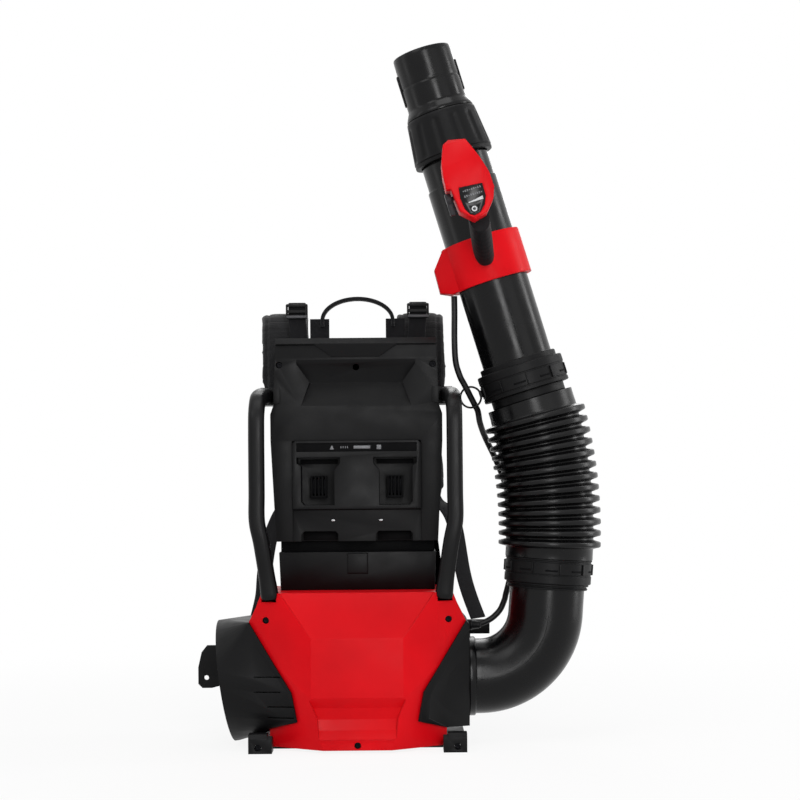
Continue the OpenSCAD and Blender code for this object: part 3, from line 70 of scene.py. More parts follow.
# ---- Sizes, in millimetres, as in the part's source ----
FAN_Z, HOUSING_TOP = 91.0, 214.0
OUTLET_X, ELBOW_D, BEND_R, LEAN, NECK = 153.0, 104.0, 93.0, 4.0, 44.0
BEND_X = OUTLET_X + 16
HOSE_LEN, RIB_D, ROOT_D, BORE_D, RIBS = 224.0, 143.0, 122.0, 112.0, 13
COLLAR, TUBE_D, TUBE_LEAN = 34.0, 98.5, 16.9
HOSE_TURN = LEAN + TUBE_LEAN
HOSE_R = HOSE_LEN * 180 / math.pi / HOSE_TURN
CL, SL = math.cos(math.radians(LEAN)), math.sin(math.radians(LEAN))
CT, ST = math.cos(math.radians(TUBE_LEAN)), math.sin(math.radians(TUBE_LEAN))
HOSE_START = Vector((BEND_X + BEND_R * CL + (NECK + COLLAR) * SL, 0,
                     FAN_Z + BEND_R - BEND_R * SL + (NECK + COLLAR) * CL))
HOSE_MID = HOSE_START + HOSE_R * Vector((-CL, 0, SL))
TUBE_O = HOSE_MID + HOSE_R * Vector((CT, 0, ST))
TUBE_X, TUBE_Z = Vector((CT, 0, ST)), Vector((-ST, 0, CT))
CLAMP_S, HEAD_S, NUT_S, TUBE_TOP, NOZZLE_TOP = 203.0, 300.0, 352.0, 350.0, 508.0
BAT_TOP, SHOULDER_Z, TRAY_TOP = 563.0, 484.0, 421.0
CLAMP_R = TUBE_D / 2 + 7
CABLE_R, GLAND_Y, GLAND_Z = 4.25, 59, 158
# The plane that the harness starts from, and its webbing
PAD_Y, WEB_W, WEB_T = 100.35, 25, 2.4

# Points around the elbow and the hose, and steps along the elbow's bend
ROUND = [2 * math.pi * j / 72 for j in range(72)]
BEND_STEPS = 40


def at_tube(x, y, s):
    """s runs up the tube from the hose's end."""
    return TUBE_O + TUBE_X * x + Y * y + TUBE_Z * s


def hose_axis(s):
    a = math.radians(LEAN - HOSE_TURN * s / HOSE_LEN)
    return Vector((math.cos(a), 0, -math.sin(a)))


def at_hose(x, y, s):
    """s runs up the hose from the lower collar."""
    return HOSE_MID + hose_axis(s) * (HOSE_R + x) + Y * y


def place_tube(s=0.0):
    m = Matrix((TUBE_X, Y, TUBE_Z)).transposed().to_4x4()
    m.translation = at_tube(0, 0, s)
    return m


def place_collar():
    m = Matrix(((CL, 0, SL), (0, 1, 0), (-SL, 0, CL))).to_4x4()
    m.translation = Vector((BEND_X + BEND_R * CL, 0, FAN_Z + BEND_R - BEND_R * SL))
    return m


# ---- Meshes ----
def add_mesh(name, verts, faces, mat, smooth=True):
    """verts in millimetres."""
    mesh = bpy.data.meshes.new(name)
    mesh.from_pydata([Vector(v) * MM for v in verts], [], faces)
    mesh.validate()
    obj = bpy.data.objects.new(name, mesh)
    bpy.context.scene.collection.objects.link(obj)
    if mat:
        mesh.materials.append(mat)
    bm = bmesh.new()
    bm.from_mesh(mesh)
    bmesh.ops.recalc_face_normals(bm, faces=bm.faces)
    bm.to_mesh(mesh)
    bm.free()
    for p in mesh.polygons:
        p.use_smooth = smooth
    return obj


def skin(name, rings, mat, loop=False):
    """A lofted skin over rings of equal length; loop joins the last ring to the first, else both ends get caps."""
    n, m = len(rings[0]), len(rings)
    verts = [v for r in rings for v in r]
    faces = []
    for k in range(m if loop else m - 1):
        a, b = k * n, ((k + 1) % m) * n
        for i in range(n):
            j = (i + 1) % n
            faces.append((a + i, a + j, b + j, b + i))
    if not loop:
        faces += [tuple(range(n - 1, -1, -1)), tuple((m - 1) * n + i for i in range(n))]
    return add_mesh(name, verts, faces, mat)


def turn(name, profile, place, mat, sides=64, lobes=None):
    """A closed profile of (radius, height) turned about the Z axis of place."""
    full, rings = [], []
    long_face, near_end = 5, 1.2
    for (r0, h0), (r1, h1) in zip(profile, profile[1:] + profile[:1]):
        full.append((r0, h0))
        # Rings near both ends of a long face keep its shading straight
        length = math.hypot(r1 - r0, h1 - h0)
        if length > long_face:
            full += [(r0 + (r1 - r0) * t, h0 + (h1 - h0) * t) for t in (near_end / length, 1 - near_end / length)]
    for r, h in full:
        ring = []
        for i in range(sides):
            a = 2 * math.pi * i / sides
            rr = r + (lobes(a, r, h) if lobes else 0.0)
            ring.append(place @ Vector((rr * math.cos(a), rr * math.sin(a), h)))
        rings.append(ring)
    return skin(name, rings, mat, loop=True)


def frames(points, side):
    """Each point with the side and up directions of the section there."""
    out = []
    n = len(points)
    for i, p in enumerate(points):
        h = (points[min(i + 1, n - 1)] - points[max(i - 1, 0)]).normalized()
        up = h.cross(side).normalized()
        out.append((p, up.cross(h) * -1, up))
    return out


def smooth_path(points, k):
    """A Catmull-Rom curve through the points, with k steps for each stretch."""
    pts = [Vector(p) for p in points]
    n, out = len(pts), []
    for i in range(n - 1):
        a, b, c, d = pts[max(i - 1, 0)], pts[i], pts[i + 1], pts[min(i + 2, n - 1)]
        for j in range(k):
            t = j / k
            out.append(0.5 * (2 * b + (c - a) * t + (2 * a - 5 * b + 4 * c - d) * t * t
                              + (3 * b - a - 3 * c + d) * t ** 3))
    return out + [pts[-1]]


def sweep(name, points, width, thick, side, mat, power=1.0, sides=20):
    """A bar of superellipse section along points; width lies along side."""
    rings = []
    for i, (p, s, u) in enumerate(frames(points, side)):
        w = width[i] if isinstance(width, list) else width
        t = thick[i] if isinstance(thick, list) else thick
        ring = []
        for j in range(sides):
            a = 2 * math.pi * j / sides
            c, d = math.cos(a), math.sin(a)
            ring.append(p + s * (w / 2 * math.copysign(abs(c) ** power, c))
                        + u * (t / 2 * math.copysign(abs(d) ** power, d)))
        rings.append(ring)
    return skin(name, rings, mat)


def block(name, lo, hi, mat, width=0.8, place=None, segments=3):
    """A moulded block with rounded edges."""
    (x0, y0, z0), (x1, y1, z1) = lo, hi
    verts = [(x0, y0, z0), (x1, y0, z0), (x1, y1, z0), (x0, y1, z0),
             (x0, y0, z1), (x1, y0, z1), (x1, y1, z1), (x0, y1, z1)]
    if place:
        verts = [place @ Vector(v) for v in verts]
    faces = [(0, 3, 2, 1), (4, 5, 6, 7), (0, 1, 5, 4), (1, 2, 6, 5), (2, 3, 7, 6), (3, 0, 4, 7)]
    return round_edges(add_mesh(name, verts, faces, mat), width, segments)


def prism(name, outline, low, high, axis, mat, width=0.8, place=None, segments=3):
    """outline is in the two other axes, in the order X, Y, Z."""
    def point(p, h):
        v = {"x": (h, p[0], p[1]), "y": (p[0], h, p[1]), "z": (p[0], p[1], h)}[axis]
        return place @ Vector(v) if place else Vector(v)
    n = len(outline)
    verts = [point(p, low) for p in outline] + [point(p, high) for p in outline]
    faces = [tuple(range(n - 1, -1, -1)), tuple(range(n, 2 * n))]
    faces += [(i, (i + 1) % n, n + (i + 1) % n, n + i) for i in range(n)]
    return round_edges(add_mesh(name, verts, faces, mat, smooth=False), width, segments)


def bake(obj):
    """Puts the object's modifiers into its mesh."""
    graph = bpy.context.evaluated_depsgraph_get()
    mesh = bpy.data.meshes.new_from_object(obj.evaluated_get(graph))
    old = obj.data
    obj.modifiers.clear()
    obj.data = mesh
    mesh.name = obj.name
    bpy.data.meshes.remove(old)
    return obj


def round_edges(obj, width, segments=3, angle=28):
    if width > 0:
        mod = obj.modifiers.new("round", "BEVEL")
        mod.width = width * MM
        mod.segments = segments
        mod.limit_method = "ANGLE"
        mod.angle_limit = math.radians(angle)
        mod.use_clamp_overlap = True
        mod.harden_normals = False
        bake(obj)
    soft_shade(obj, 50)
    return obj


def soft_shade(obj, angle=40):
    mesh = obj.data
    for p in mesh.polygons:
        p.use_smooth = True
    bm = bmesh.new()
    bm.from_mesh(mesh)
    limit = math.radians(angle)
    for e in bm.edges:
        e.smooth = len(e.link_faces) == 2 and e.calc_face_angle(0) < limit
    bm.to_mesh(mesh)
    bm.free()
    return obj


def cut(obj, cutter):
    """Takes the cutter's form out of the object, and removes the cutter."""
    mod = obj.modifiers.new("cut", "BOOLEAN")
    mod.operation = "DIFFERENCE"
    mod.solver = "EXACT"
    mod.object = cutter
    bake(obj)
    mesh = cutter.data
    bpy.data.objects.remove(cutter)
    bpy.data.meshes.remove(mesh)


def set_piece(obj, body, slot, *replaced):
    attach(obj, body)
    if replaced:
        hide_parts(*replaced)
    return obj


def set_bend(obj, a, b, start, end, slot, *replaced):
    """A piece that bends between two bodies has no parent."""
    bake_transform(obj)
    if replaced:
        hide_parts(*replaced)
    return obj


def shell(node, mat, slot, width, angle=28, segments=2):
    """A copy of a hard CAD node with its edges rounded."""
    source = nodes[node]
    obj = bpy.data.objects.new("v_" + node, source.data.copy())
    bpy.context.scene.collection.objects.link(obj)
    mesh = obj.data
    mesh.materials.clear()
    mesh.materials.append(mat)
    if mesh.has_custom_normals:
        with bpy.context.temp_override(active_object=obj, object=obj, selected_objects=[obj]):
            bpy.ops.mesh.customdata_custom_splitnormals_clear()
    bm = bmesh.new()
    bm.from_mesh(mesh)
    bmesh.ops.remove_doubles(bm, verts=bm.verts, dist=2e-6)
    bmesh.ops.dissolve_limit(bm, angle_limit=math.radians(0.6), verts=bm.verts, edges=bm.edges)
    bmesh.ops.recalc_face_normals(bm, faces=bm.faces)
    bm.to_mesh(mesh)
    bm.free()
    for p in mesh.polygons:
        p.material_index = 0
    round_edges(obj, width, segments, angle)
    return set_piece(obj, source["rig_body"], slot, node)


# ---- Camera, floor and light ----
def add_camera():
    data = bpy.data.cameras.new("camera")
    data.lens = 83.57
    data.sensor_width = 36
    data.shift_y = 0.1
    data.clip_end = 60
    obj = bpy.data.objects.new("camera", data)
    bpy.context.scene.collection.objects.link(obj)
    obj.location = (0.0598, -2.6, 0.366)
    obj.rotation_euler = (math.radians(90), math.radians(0.5), 0)
    bpy.context.scene.camera = obj


def seen(tree):
    """1 for what the camera, a gloss or a clear surface sees, 0 for light on the object."""
    path = tree.nodes.new("ShaderNodeLightPath")
    a = tree.nodes.new("ShaderNodeMath")
    b = tree.nodes.new("ShaderNodeMath")
    for m in (a, b):
        m.operation = "MAXIMUM"
    tree.links.new(path.outputs["Is Camera Ray"], a.inputs[0])
    tree.links.new(path.outputs["Is Glossy Ray"], a.inputs[1])
    tree.links.new(a.outputs[0], b.inputs[0])
    tree.links.new(path.outputs["Is Transmission Ray"], b.inputs[1])
    return b.outputs[0]


def add_world():
    world = bpy.data.worlds.new("studio")
    world.use_nodes = True
    bpy.context.scene.world = world
    tree = world.node_tree
    back = tree.nodes["Background"]
    back.inputs["Color"].default_value = (1, 1, 1, 1)
    strength = tree.nodes.new("ShaderNodeMapRange")
    strength.inputs["To Min"].default_value = 0.24
    strength.inputs["To Max"].default_value = 1.0
    tree.links.new(seen(tree), strength.inputs["Value"])
    tree.links.new(strength.outputs["Result"], back.inputs["Strength"])


def add_floor():
    mat = bpy.data.materials.new("floor")
    mat.use_nodes = True
    tree = mat.node_tree
    plain = tree.nodes["Principled BSDF"]
    plain.inputs["Base Color"].default_value = (0.9, 0.9, 0.9, 1)
    plain.inputs["Roughness"].default_value = 0.9
    plain.inputs["Specular IOR Level"].default_value = 0.0
    glow = tree.nodes.new("ShaderNodeEmission")
    glow.inputs["Color"].default_value = (1, 1, 1, 1)
    mix = tree.nodes.new("ShaderNodeMixShader")
    part = tree.nodes.new("ShaderNodeMath")
    part.operation = "MULTIPLY"
    # The shadow fades into plain white further away
    coord = tree.nodes.new("ShaderNodeTexCoord")
    length = tree.nodes.new("ShaderNodeVectorMath")
    length.operation = "LENGTH"
    fade = tree.nodes.new("ShaderNodeMapRange")
    fade.interpolation_type = "SMOOTHSTEP"
    for key, value in (("From Min", 0.3), ("From Max", 1.6), ("To Min", 0.88), ("To Max", 1.0)):
        fade.inputs[key].default_value = value
    tree.links.new(coord.outputs["Object"], length.inputs[0])
    tree.links.new(length.outputs["Value"], fade.inputs["Value"])
    tree.links.new(fade.outputs["Result"], part.inputs[1])
    tree.links.new(seen(tree), part.inputs[0])
    tree.links.new(part.outputs[0], mix.inputs[0])
    tree.links.new(plain.outputs[0], mix.inputs[1])
    tree.links.new(glow.outputs[0], mix.inputs[2])
    tree.links.new(mix.outputs[0], tree.nodes["Material Output"].inputs["Surface"])
    floor = add_mesh("floor", [(-9000, -6000, 0), (9000, -6000, 0), (9000, 12000, 0), (-9000, 12000, 0)],
                     [(0, 1, 2, 3)], mat, smooth=False)
    floor.location.z = -0.0004


def add_lamp(name, place, target, size, watts, size_y=None):
    data = bpy.data.lights.new(name, "AREA")
    data.shape = "RECTANGLE"
    data.size = size
    data.size_y = size_y or size
    data.energy = watts
    obj = bpy.data.objects.new(name, data)
    bpy.context.scene.collection.objects.link(obj)
    obj.location = place
    obj.rotation_euler = (Vector(target) - Vector(place)).to_track_quat("-Z", "Y").to_euler()


scene = bpy.context.scene
scene.view_settings.view_transform = "Standard"
add_camera()
add_world()
add_floor()
add_lamp("front", (0.5, -3.0, 1.0), (0.1, 0, 0.5), 0.6, 38, 2.0)
add_lamp("key", (-1.3, -2.1, 2.6), (0.05, 0, 0.45), 1.5, 16)
add_lamp("fill", (1.9, -2.0, 1.5), (0.05, 0, 0.45), 1.4, 4)
add_lamp("top", (0.1, -0.6, 2.9), (0.05, 0, 0.4), 1.4, 17)
add_lamp("strip_left", (-1.6, -0.2, 0.9), (0.1, 0, 0.6), 0.35, 2.5, 1.8)
add_lamp("strip_right", (1.8, 0.25, 0.9), (0.25, 0, 0.6), 0.35, 13, 1.8)
add_lamp("rear", (0.3, 2.4, 1.8), (0.05, 0, 0.45), 1.4, 18)


# ---- Materials ----
def linear(*rgb):
    """A scene-linear colour from sRGB values of 0 to 255."""
    parts = [v / 255 for v in rgb]
    return tuple(c / 12.92 if c <= 0.04045 else ((c + 0.055) / 1.055) ** 2.4 for c in parts) + (1,)


class Finish:
    """A principled material with noise-driven colour, roughness, bump and edge wear."""

    def __init__(self, name, colour, rough, specular=0.3):
        self.mat = bpy.data.materials.new(name)
        self.mat.use_nodes = True
        self.tree = self.mat.node_tree
        self.bsdf = self.tree.nodes["Principled BSDF"]
        self.colour = linear(*colour)
        self.mat.diffuse_color = self.colour
        self.rough = rough
        self.bsdf.inputs["Base Color"].default_value = self.colour
        self.bsdf.inputs["Roughness"].default_value = rough
        self.bsdf.inputs["Specular IOR Level"].default_value = specular
        self.coord = self.node("ShaderNodeTexCoord").outputs["Object"]
        self.normal = None

    def node(self, kind, **values):
        n = self.tree.nodes.new(kind)
        for key, value in values.items():
            if hasattr(n, key):
                setattr(n, key, value)
            else:
                n.inputs[key.replace("_", " ")].default_value = value
        return n

    def link(self, a, b):
        self.tree.links.new(a, b)

    def noise(self, scale, detail=3.0, stretch=None):
        n = self.node("ShaderNodeTexNoise", Scale=scale, Detail=detail)
        source = self.coord
        if stretch:
            m = self.node("ShaderNodeMapping")
            m.inputs["Scale"].default_value = stretch
            self.link(source, m.inputs["Vector"])
            source = m.outputs[0]
        self.link(source, n.inputs["Vector"])
        return n.outputs["Fac"]

    def wave(self, scale, axis, profile="SIN"):
        n = self.node("ShaderNodeTexWave", Scale=scale, Distortion=0.0)
        n.bands_direction = axis
        n.wave_profile = profile
        self.link(self.coord, n.inputs["Vector"])
        return n.outputs["Fac"]

    def maths(self, op, a, b=None):
        n = self.node("ShaderNodeMath", operation=op)
        for i, v in enumerate((a, b)):
            if v is None:
                continue
            if isinstance(v, (int, float)):
                n.inputs[i].default_value = v
            else:
                self.link(v, n.inputs[i])
        return n.outputs[0]

    def ramp(self, value, low, high, to_low=0.0, to_high=1.0):
        n = self.node("ShaderNodeMapRange")
        for key, v in (("From Min", low), ("From Max", high), ("To Min", to_low), ("To Max", to_high)):
            n.inputs[key].default_value = v
        self.link(value, n.inputs["Value"])
        return n.outputs["Result"]

    def vary(self, spread=0.12, rough_spread=0.08, scale=9.0):
        """Slow drift of colour and roughness over the surface."""
        fac = self.noise(scale, 4.0)
        mix = self.node("ShaderNodeMix")
        mix.data_type = "RGBA"
        c = self.colour
        mix.inputs[6].default_value = tuple(min(1, v * (1 - spread)) for v in c[:3]) + (1,)
        mix.inputs[7].default_value = tuple(min(1, v * (1 + spread)) for v in c[:3]) + (1,)
        self.link(self.ramp(fac, 0.3, 0.7), mix.inputs[0])
        self.out = mix.outputs[2]
        self.link(self.out, self.bsdf.inputs["Base Color"])
        smudge = self.noise(scale * 4.3, 6.0)
        rough = self.ramp(smudge, 0.3, 0.7, self.rough - rough_spread, self.rough + rough_spread)
        self.link(rough, self.bsdf.inputs["Roughness"])

    def wear(self, colour, radius=1.0, amount=0.6):
        """Rounded look at edges, and paler rubbed edges broken up by noise."""
        bev = self.node("ShaderNodeBevel", samples=4, Radius=radius * MM)
        geo = self.node("ShaderNodeNewGeometry")
        dot = self.node("ShaderNodeVectorMath", operation="DOT_PRODUCT")
        self.link(bev.outputs[0], dot.inputs[0])
        self.link(geo.outputs["Normal"], dot.inputs[1])
        edge = self.ramp(dot.outputs["Value"], 0.97, 0.8)
        rub = self.ramp(self.noise(160.0, 5.0), 0.48, 0.68, 0.0, amount)
        mask = self.maths("MULTIPLY", edge, rub)
        mix = self.node("ShaderNodeMix")
        mix.data_type = "RGBA"
        self.link(mask, mix.inputs[0])
        self.link(self.out, mix.inputs[6])
        mix.inputs[7].default_value = linear(*colour)
        self.out = mix.outputs[2]
        self.link(self.out, self.bsdf.inputs["Base Color"])
        self.normal = bev.outputs[0]

    def bump(self, height, strength, distance):
        n = self.node("ShaderNodeBump", Strength=strength, Distance=distance * MM)
        self.link(height, n.inputs["Height"])
        if self.normal:
            self.link(self.normal, n.inputs["Normal"])
        self.normal = n.outputs[0]
        self.link(self.normal, self.bsdf.inputs["Normal"])


def moulded(name, colour, rough, specular, grain=1500.0, depth=0.06, radius=0.9, rub=(70, 70, 72), amount=0.35):
    f = Finish(name, colour, rough, specular)
    f.vary(0.10, 0.07)
    f.wear(rub, radius, amount)
    f.bump(f.noise(grain, 2.0), 0.35, depth)
    scratch = f.ramp(f.noise(60.0, 3.0, (1.0, 1.0, 14.0)), 0.62, 0.72)
    f.bump(scratch, 0.12, 0.05)
    return f.mat


RED = moulded("red_shell", (212, 8, 20), 0.4, 0.1, 1100.0, 0.03, 2.2, (224, 70, 74), 0.15)
BLACK = moulded("black_shell", (12, 12, 13), 0.46, 0.13, 1500.0, 0.09, 0.9, (52, 52, 54))
GREY = moulded("grey_moulding", (74, 74, 77), 0.5, 0.25)
BAR = moulded("bar_plastic", (11, 11, 12), 0.36, 0.15, 1300.0, 0.07, 1.2, (52, 52, 54))
SATIN = moulded("tube_satin", (5, 5, 6), 0.25, 0.2, 900.0, 0.02, 1.0, (50, 50, 52))
HOSE = moulded("bellows", (9, 9, 10), 0.3, 0.2, 1000.0, 0.04, 0.8, (50, 50, 52))
CABLE = moulded("cable_sheath", (18, 18, 20), 0.42, 0.22, 1200.0, 0.03, 0.4, (50, 50, 52))
DARK = moulded("lever_grey", (40, 40, 43), 0.5, 0.2)


def metal(name, colour, rough):
    f = Finish(name, colour, rough, 0.5)
    f.vary(0.08, 0.08, 40.0)
    f.bsdf.inputs["Metallic"].default_value = 1.0
    f.bump(f.noise(420.0, 3.0, (1.0, 9.0, 1.0)), 0.25, 0.02)
    return f.mat


STEEL = metal("steel", (150, 150, 154), 0.34)
DARK_STEEL = metal("dark_steel", (20, 20, 22), 0.5)
COPPER = metal("copper", (200, 132, 84), 0.34)


def soft_grip():
    f = Finish("soft_grip", (18, 18, 20), 0.66, 0.14)
    f.vary(0.1, 0.06, 20.0)
    cell = f.node("ShaderNodeTexVoronoi", Scale=620.0)
    f.link(f.coord, cell.inputs["Vector"])
    f.bump(f.ramp(cell.outputs["Distance"], 0.1, 0.6), 0.5, 0.25)
    f.bump(f.noise(1500.0, 2.0), 0.3, 0.05)
    return f.mat


def webbing():
    f = Finish("webbing", (26, 26, 28), 0.85, 0.12)
    f.vary(0.16, 0.05, 60.0)
    f.bsdf.inputs["Sheen Weight"].default_value = 0.12
    f.bsdf.inputs["Sheen Roughness"].default_value = 0.5
    warp = f.wave(190.0, "X")
    weft = f.wave(120.0, "Z")
    through = f.wave(120.0, "Y")
    cloth = f.maths("MULTIPLY", warp, f.maths("MAXIMUM", weft, f.maths("MULTIPLY", through, 0.8)))
    f.bump(cloth, 0.7, 0.35)
    f.bump(f.noise(2600.0, 2.0), 0.3, 0.06)
    return f.mat


def pad_fabric():
    f = Finish("pad_fabric", (22, 22, 24), 0.92, 0.1)
    f.vary(0.18, 0.04, 30.0)
    f.bsdf.inputs["Sheen Weight"].default_value = 0.2
    f.bsdf.inputs["Sheen Roughness"].default_value = 0.6
    cell = f.node("ShaderNodeTexVoronoi", Scale=360.0, Randomness=0.25)
    f.link(f.coord, cell.inputs["Vector"])
    holes = f.ramp(cell.outputs["Distance"], 0.12, 0.5)
    f.bump(holes, 0.6, 0.5)
    mix = f.node("ShaderNodeMix")
    mix.data_type = "RGBA"
    f.link(holes, mix.inputs[0])
    mix.inputs[6].default_value = linear(13, 13, 14)
    f.link(f.out, mix.inputs[7])
    f.link(mix.outputs[2], f.bsdf.inputs["Base Color"])
    f.bump(f.noise(2200.0, 2.0), 0.3, 0.08)
    return f.mat


def gloss(name, colour, rough):
    f = Finish(name, colour, rough, 0.15)
    f.vary(0.05, 0.04, 30.0)
    f.bsdf.inputs["Coat Weight"].default_value = 0.06
    f.bsdf.inputs["Coat Roughness"].default_value = 0.12
    f.bump(f.noise(700.0, 2.0), 0.1, 0.01)
    return f.mat


def circuit():
    f = Finish("circuit", (18, 66, 40), 0.4, 0.5)
    f.vary(0.2, 0.08, 60.0)
    f.bump(f.wave(300.0, "X", "SAW"), 0.2, 0.1)
    return f.mat


GRIP, WEB, PAD, BOARD = soft_grip(), webbing(), pad_fabric(), circuit()
DISPLAY = gloss("display", (13, 13, 15), 0.2)
MARK = gloss("mark", (205, 206, 208), 0.4)
DIM_MARK = gloss("dim_mark", (120, 121, 124), 0.4)
SOCKET = moulded("socket_dark", (6, 6, 7), 0.75, 0.08)


# ---- Elbow, hose and collars ----
def bend_out(k):
    """The way out from the bend's centre at step k."""
    a = math.radians((90 - LEAN) * k / BEND_STEPS)
    return Vector((math.sin(a), 0, -math.cos(a)))


def bend_rings(radius):
    mid = Vector((BEND_X, 0, FAN_Z + BEND_R))
    return [[mid + bend_out(k) * (BEND_R + radius * math.cos(t)) + Y * (radius * math.sin(t)) for t in ROUND]
            for k in range(BEND_STEPS + 1)]


def make_elbow():
    place = place_collar()
    fan = Matrix(((0, 0, 1), (0, 1, 0), (-1, 0, 0))).to_4x4()
    fan.translation = Vector((0, 0, FAN_Z))

    def circle(m, r, h):
        # The same start and turning sense as the bend's rings
        return [m @ Vector((r * math.cos(t), r * math.sin(t), h)) for t in ROUND]
    outer, inner = ELBOW_D / 2, ELBOW_D / 2 - 6.5
    spigot = outer - 3
    # Radius, and distance outwards from the outlet's face
    profile = [(inner, -24), (spigot - 0.8, -24), (spigot, -23), (spigot, 0.4), (outer + 2.2, 0.5), (outer + 3, 1.4),
               (outer + 3, 8), (outer + 2.2, 9.2), (outer + 0.2, 10), (outer, 12)]
    rings = [circle(fan, r, OUTLET_X + x) for r, x in profile]
    rings += bend_rings(outer)
    rings += [circle(place, outer, h) for h in (12, 30, NECK - 1)]
    rings += [circle(place, outer - 1, NECK), circle(place, inner, NECK)]
    rings += bend_rings(inner)[::-1]
    elbow = skin("v_outlet_elbow", rings, SATIN, loop=True)
    soft_shade(elbow, 40)
    set_piece(elbow, "elbow", "black_shell", "outlet_elbow")
    # The moulding's parting line along the elbow, front and back
    for name, s in (("front", -1), ("rear", 1)):
        mid = Vector((BEND_X, s * (outer + 0.02), FAN_Z + BEND_R))
        path = [mid + bend_out(k) * BEND_R for k in range(BEND_STEPS + 1)]
        line = sweep("elbow_seam_" + name, path, 1.1, 0.7, Y, SATIN, sides=8)
        set_piece(line, "elbow", "black_shell")


def add_grips(name, body, place, r, turned, slot_h, rib_h):
    """Ten dark slots and ten ribs around a collar, each from one height to another."""
    for k in range(10):
        m = place @ Matrix.Rotation(math.radians(turned + 36 * k), 4, "Z")
        slot = block(f"{name}_slot_{k}", (r - 2.4, -8.5, slot_h[0]), (r + 0.25, 8.5, slot_h[1]), SOCKET, 0.5, m, 2)
        set_piece(slot, body, "black_shell")
        rib = block(f"{name}_rib_{k}", (r - 1.5, 10.5, rib_h[0]), (r + 0.8, 12.3, rib_h[1]), BLACK, 0.5, m, 2)
        set_piece(rib, body, "black_shell")


def make_collars():
    place = place_collar()
    r, e = ROOT_D / 2 - 0.5, ELBOW_D / 2
    n = NECK
    profile = [(e - 4, n + COLLAR), (e - 4, n + 0.3), (e + 0.8, n + 0.2), (e + 0.8, n - 8), (e + 2, n - 8.4),
               (e + 3.6, n - 8.2), (e + 4.1, n - 7.4), (e + 4.1, n - 6), (e + 3.4, n - 5.4), (e + 2.6, n - 5),
               (e + 2.6, n - 3.6), (e + 4.8, n - 3.2), (e + 5.5, n - 2.4), (e + 5.5, n - 1), (e + 4.8, n - 0.3),
               (r - 0.8, n + 0.1), (r, n + 1), (r, n + 11), (r - 0.9, n + 11.6), (r - 0.9, n + 12.8), (r, n + 13.4),
               (r, n + 29), (r - 1.2, n + 29.6), (r - 1.2, n + 31.2), (r, n + 31.8), (r, n + COLLAR - 0.8),
               (r - 0.8, n + COLLAR)]
    low = turn("v_lower_collar", profile, place, BLACK, 96)
    soft_shade(low, 35)
    set_piece(low, "elbow", "black_shell", "lower_hose_collar")
    add_grips("lower_collar", "elbow", place, r, 18, (n + 17, n + 19.6), (n + 13.6, n + 28.6))

    place = place_tube()
    t, r = TUBE_D / 2, ROOT_D / 2
    profile = [(t + 0.5, 0.4), (t + 2.4, 0.4), (t + 3, 1.2), (t + 3, 11.4), (r - 1.4, 12), (r, 13), (r, 17.5),
               (r - 0.9, 18), (r - 0.9, 19.2), (r, 19.8), (r, 36), (r - 0.9, 36.5), (r - 0.9, 38), (r, 38.6),
               (r, 48.4), (r - 0.9, 49.6), (t + 5.6, 50.1), (t + 5, 50.6), (t + 5, 57), (t + 4.2, 58),
               (t + 0.5, 58)]
    high = turn("v_upper_collar", profile, place, BLACK, 96)
    soft_shade(high, 35)
    set_piece(high, "hose_end", "black_shell", "upper_hose_collar")
    add_grips("upper_collar", "hose_end", place, r, 8, (24, 26.6), (20, 35.8))


def make_hose():
    start, plain, gap = 14.0, 34, 0.3
    pitch = (HOSE_LEN - plain) / RIBS
    mid_first = RIBS // 2 - 1
    mid_last = mid_first + 2
    tip, root = RIB_D / 2, ROOT_D / 2

    def rib(i):
        # Shares of the pitch, and of the rib's height
        s = start + i * pitch
        shape = ((0.0, 0), (0.06, 0.06), (0.13, 0.4), (0.2, 0.82), (0.26, 0.96), (0.34, 1.0), (0.45, 1.0), (0.56, 1.0),
                 (0.64, 0.96), (0.7, 0.82), (0.77, 0.4), (0.84, 0.06), (0.9, 0))
        return [(s + pitch * a, root + (tip - root) * b) for a, b in shape]

    def piece(name, first, last):
        a = gap if first == 0 else start + (first - 0.05) * pitch
        b = HOSE_LEN - gap if last == RIBS - 1 else start + (last + 0.95) * pitch
        outer = [(a, root)] + [q for i in range(first, last + 1) for q in rib(i)]
        if last == RIBS - 1:
            s = start + RIBS * pitch
            outer += [(s + 2, root), (s + 8, root - 0.4), (b, root - 0.4)]
        else:
            outer += [(b, root)]
        steps = 4 * (last - first + 1)
        inner = [(b + (a - b) * k / steps, BORE_D / 2) for k in range(steps + 1)]
        rings = [[at_hose(r * math.cos(t), r * math.sin(t), s) for t in ROUND] for s, r in outer + inner]
        obj = soft_shade(skin(name, rings, HOSE, loop=True), 50)
        return obj, at_hose(0, 0, a), at_hose(0, 0, b)
    low, a, b = piece("v_hose_lower", 0, mid_first - 1)
    set_bend(low, "elbow", "hose_mid", a, b, "bellows", "hose_lower")
    mid, _, _ = piece("v_hose_middle", mid_first, mid_last)
    set_piece(mid, "hose_mid", "bellows", "hose_middle")
    high, a, b = piece("v_hose_upper", mid_last + 1, RIBS - 1)
    set_bend(high, "hose_mid", "hose_end", a, b, "bellows", "hose_upper")


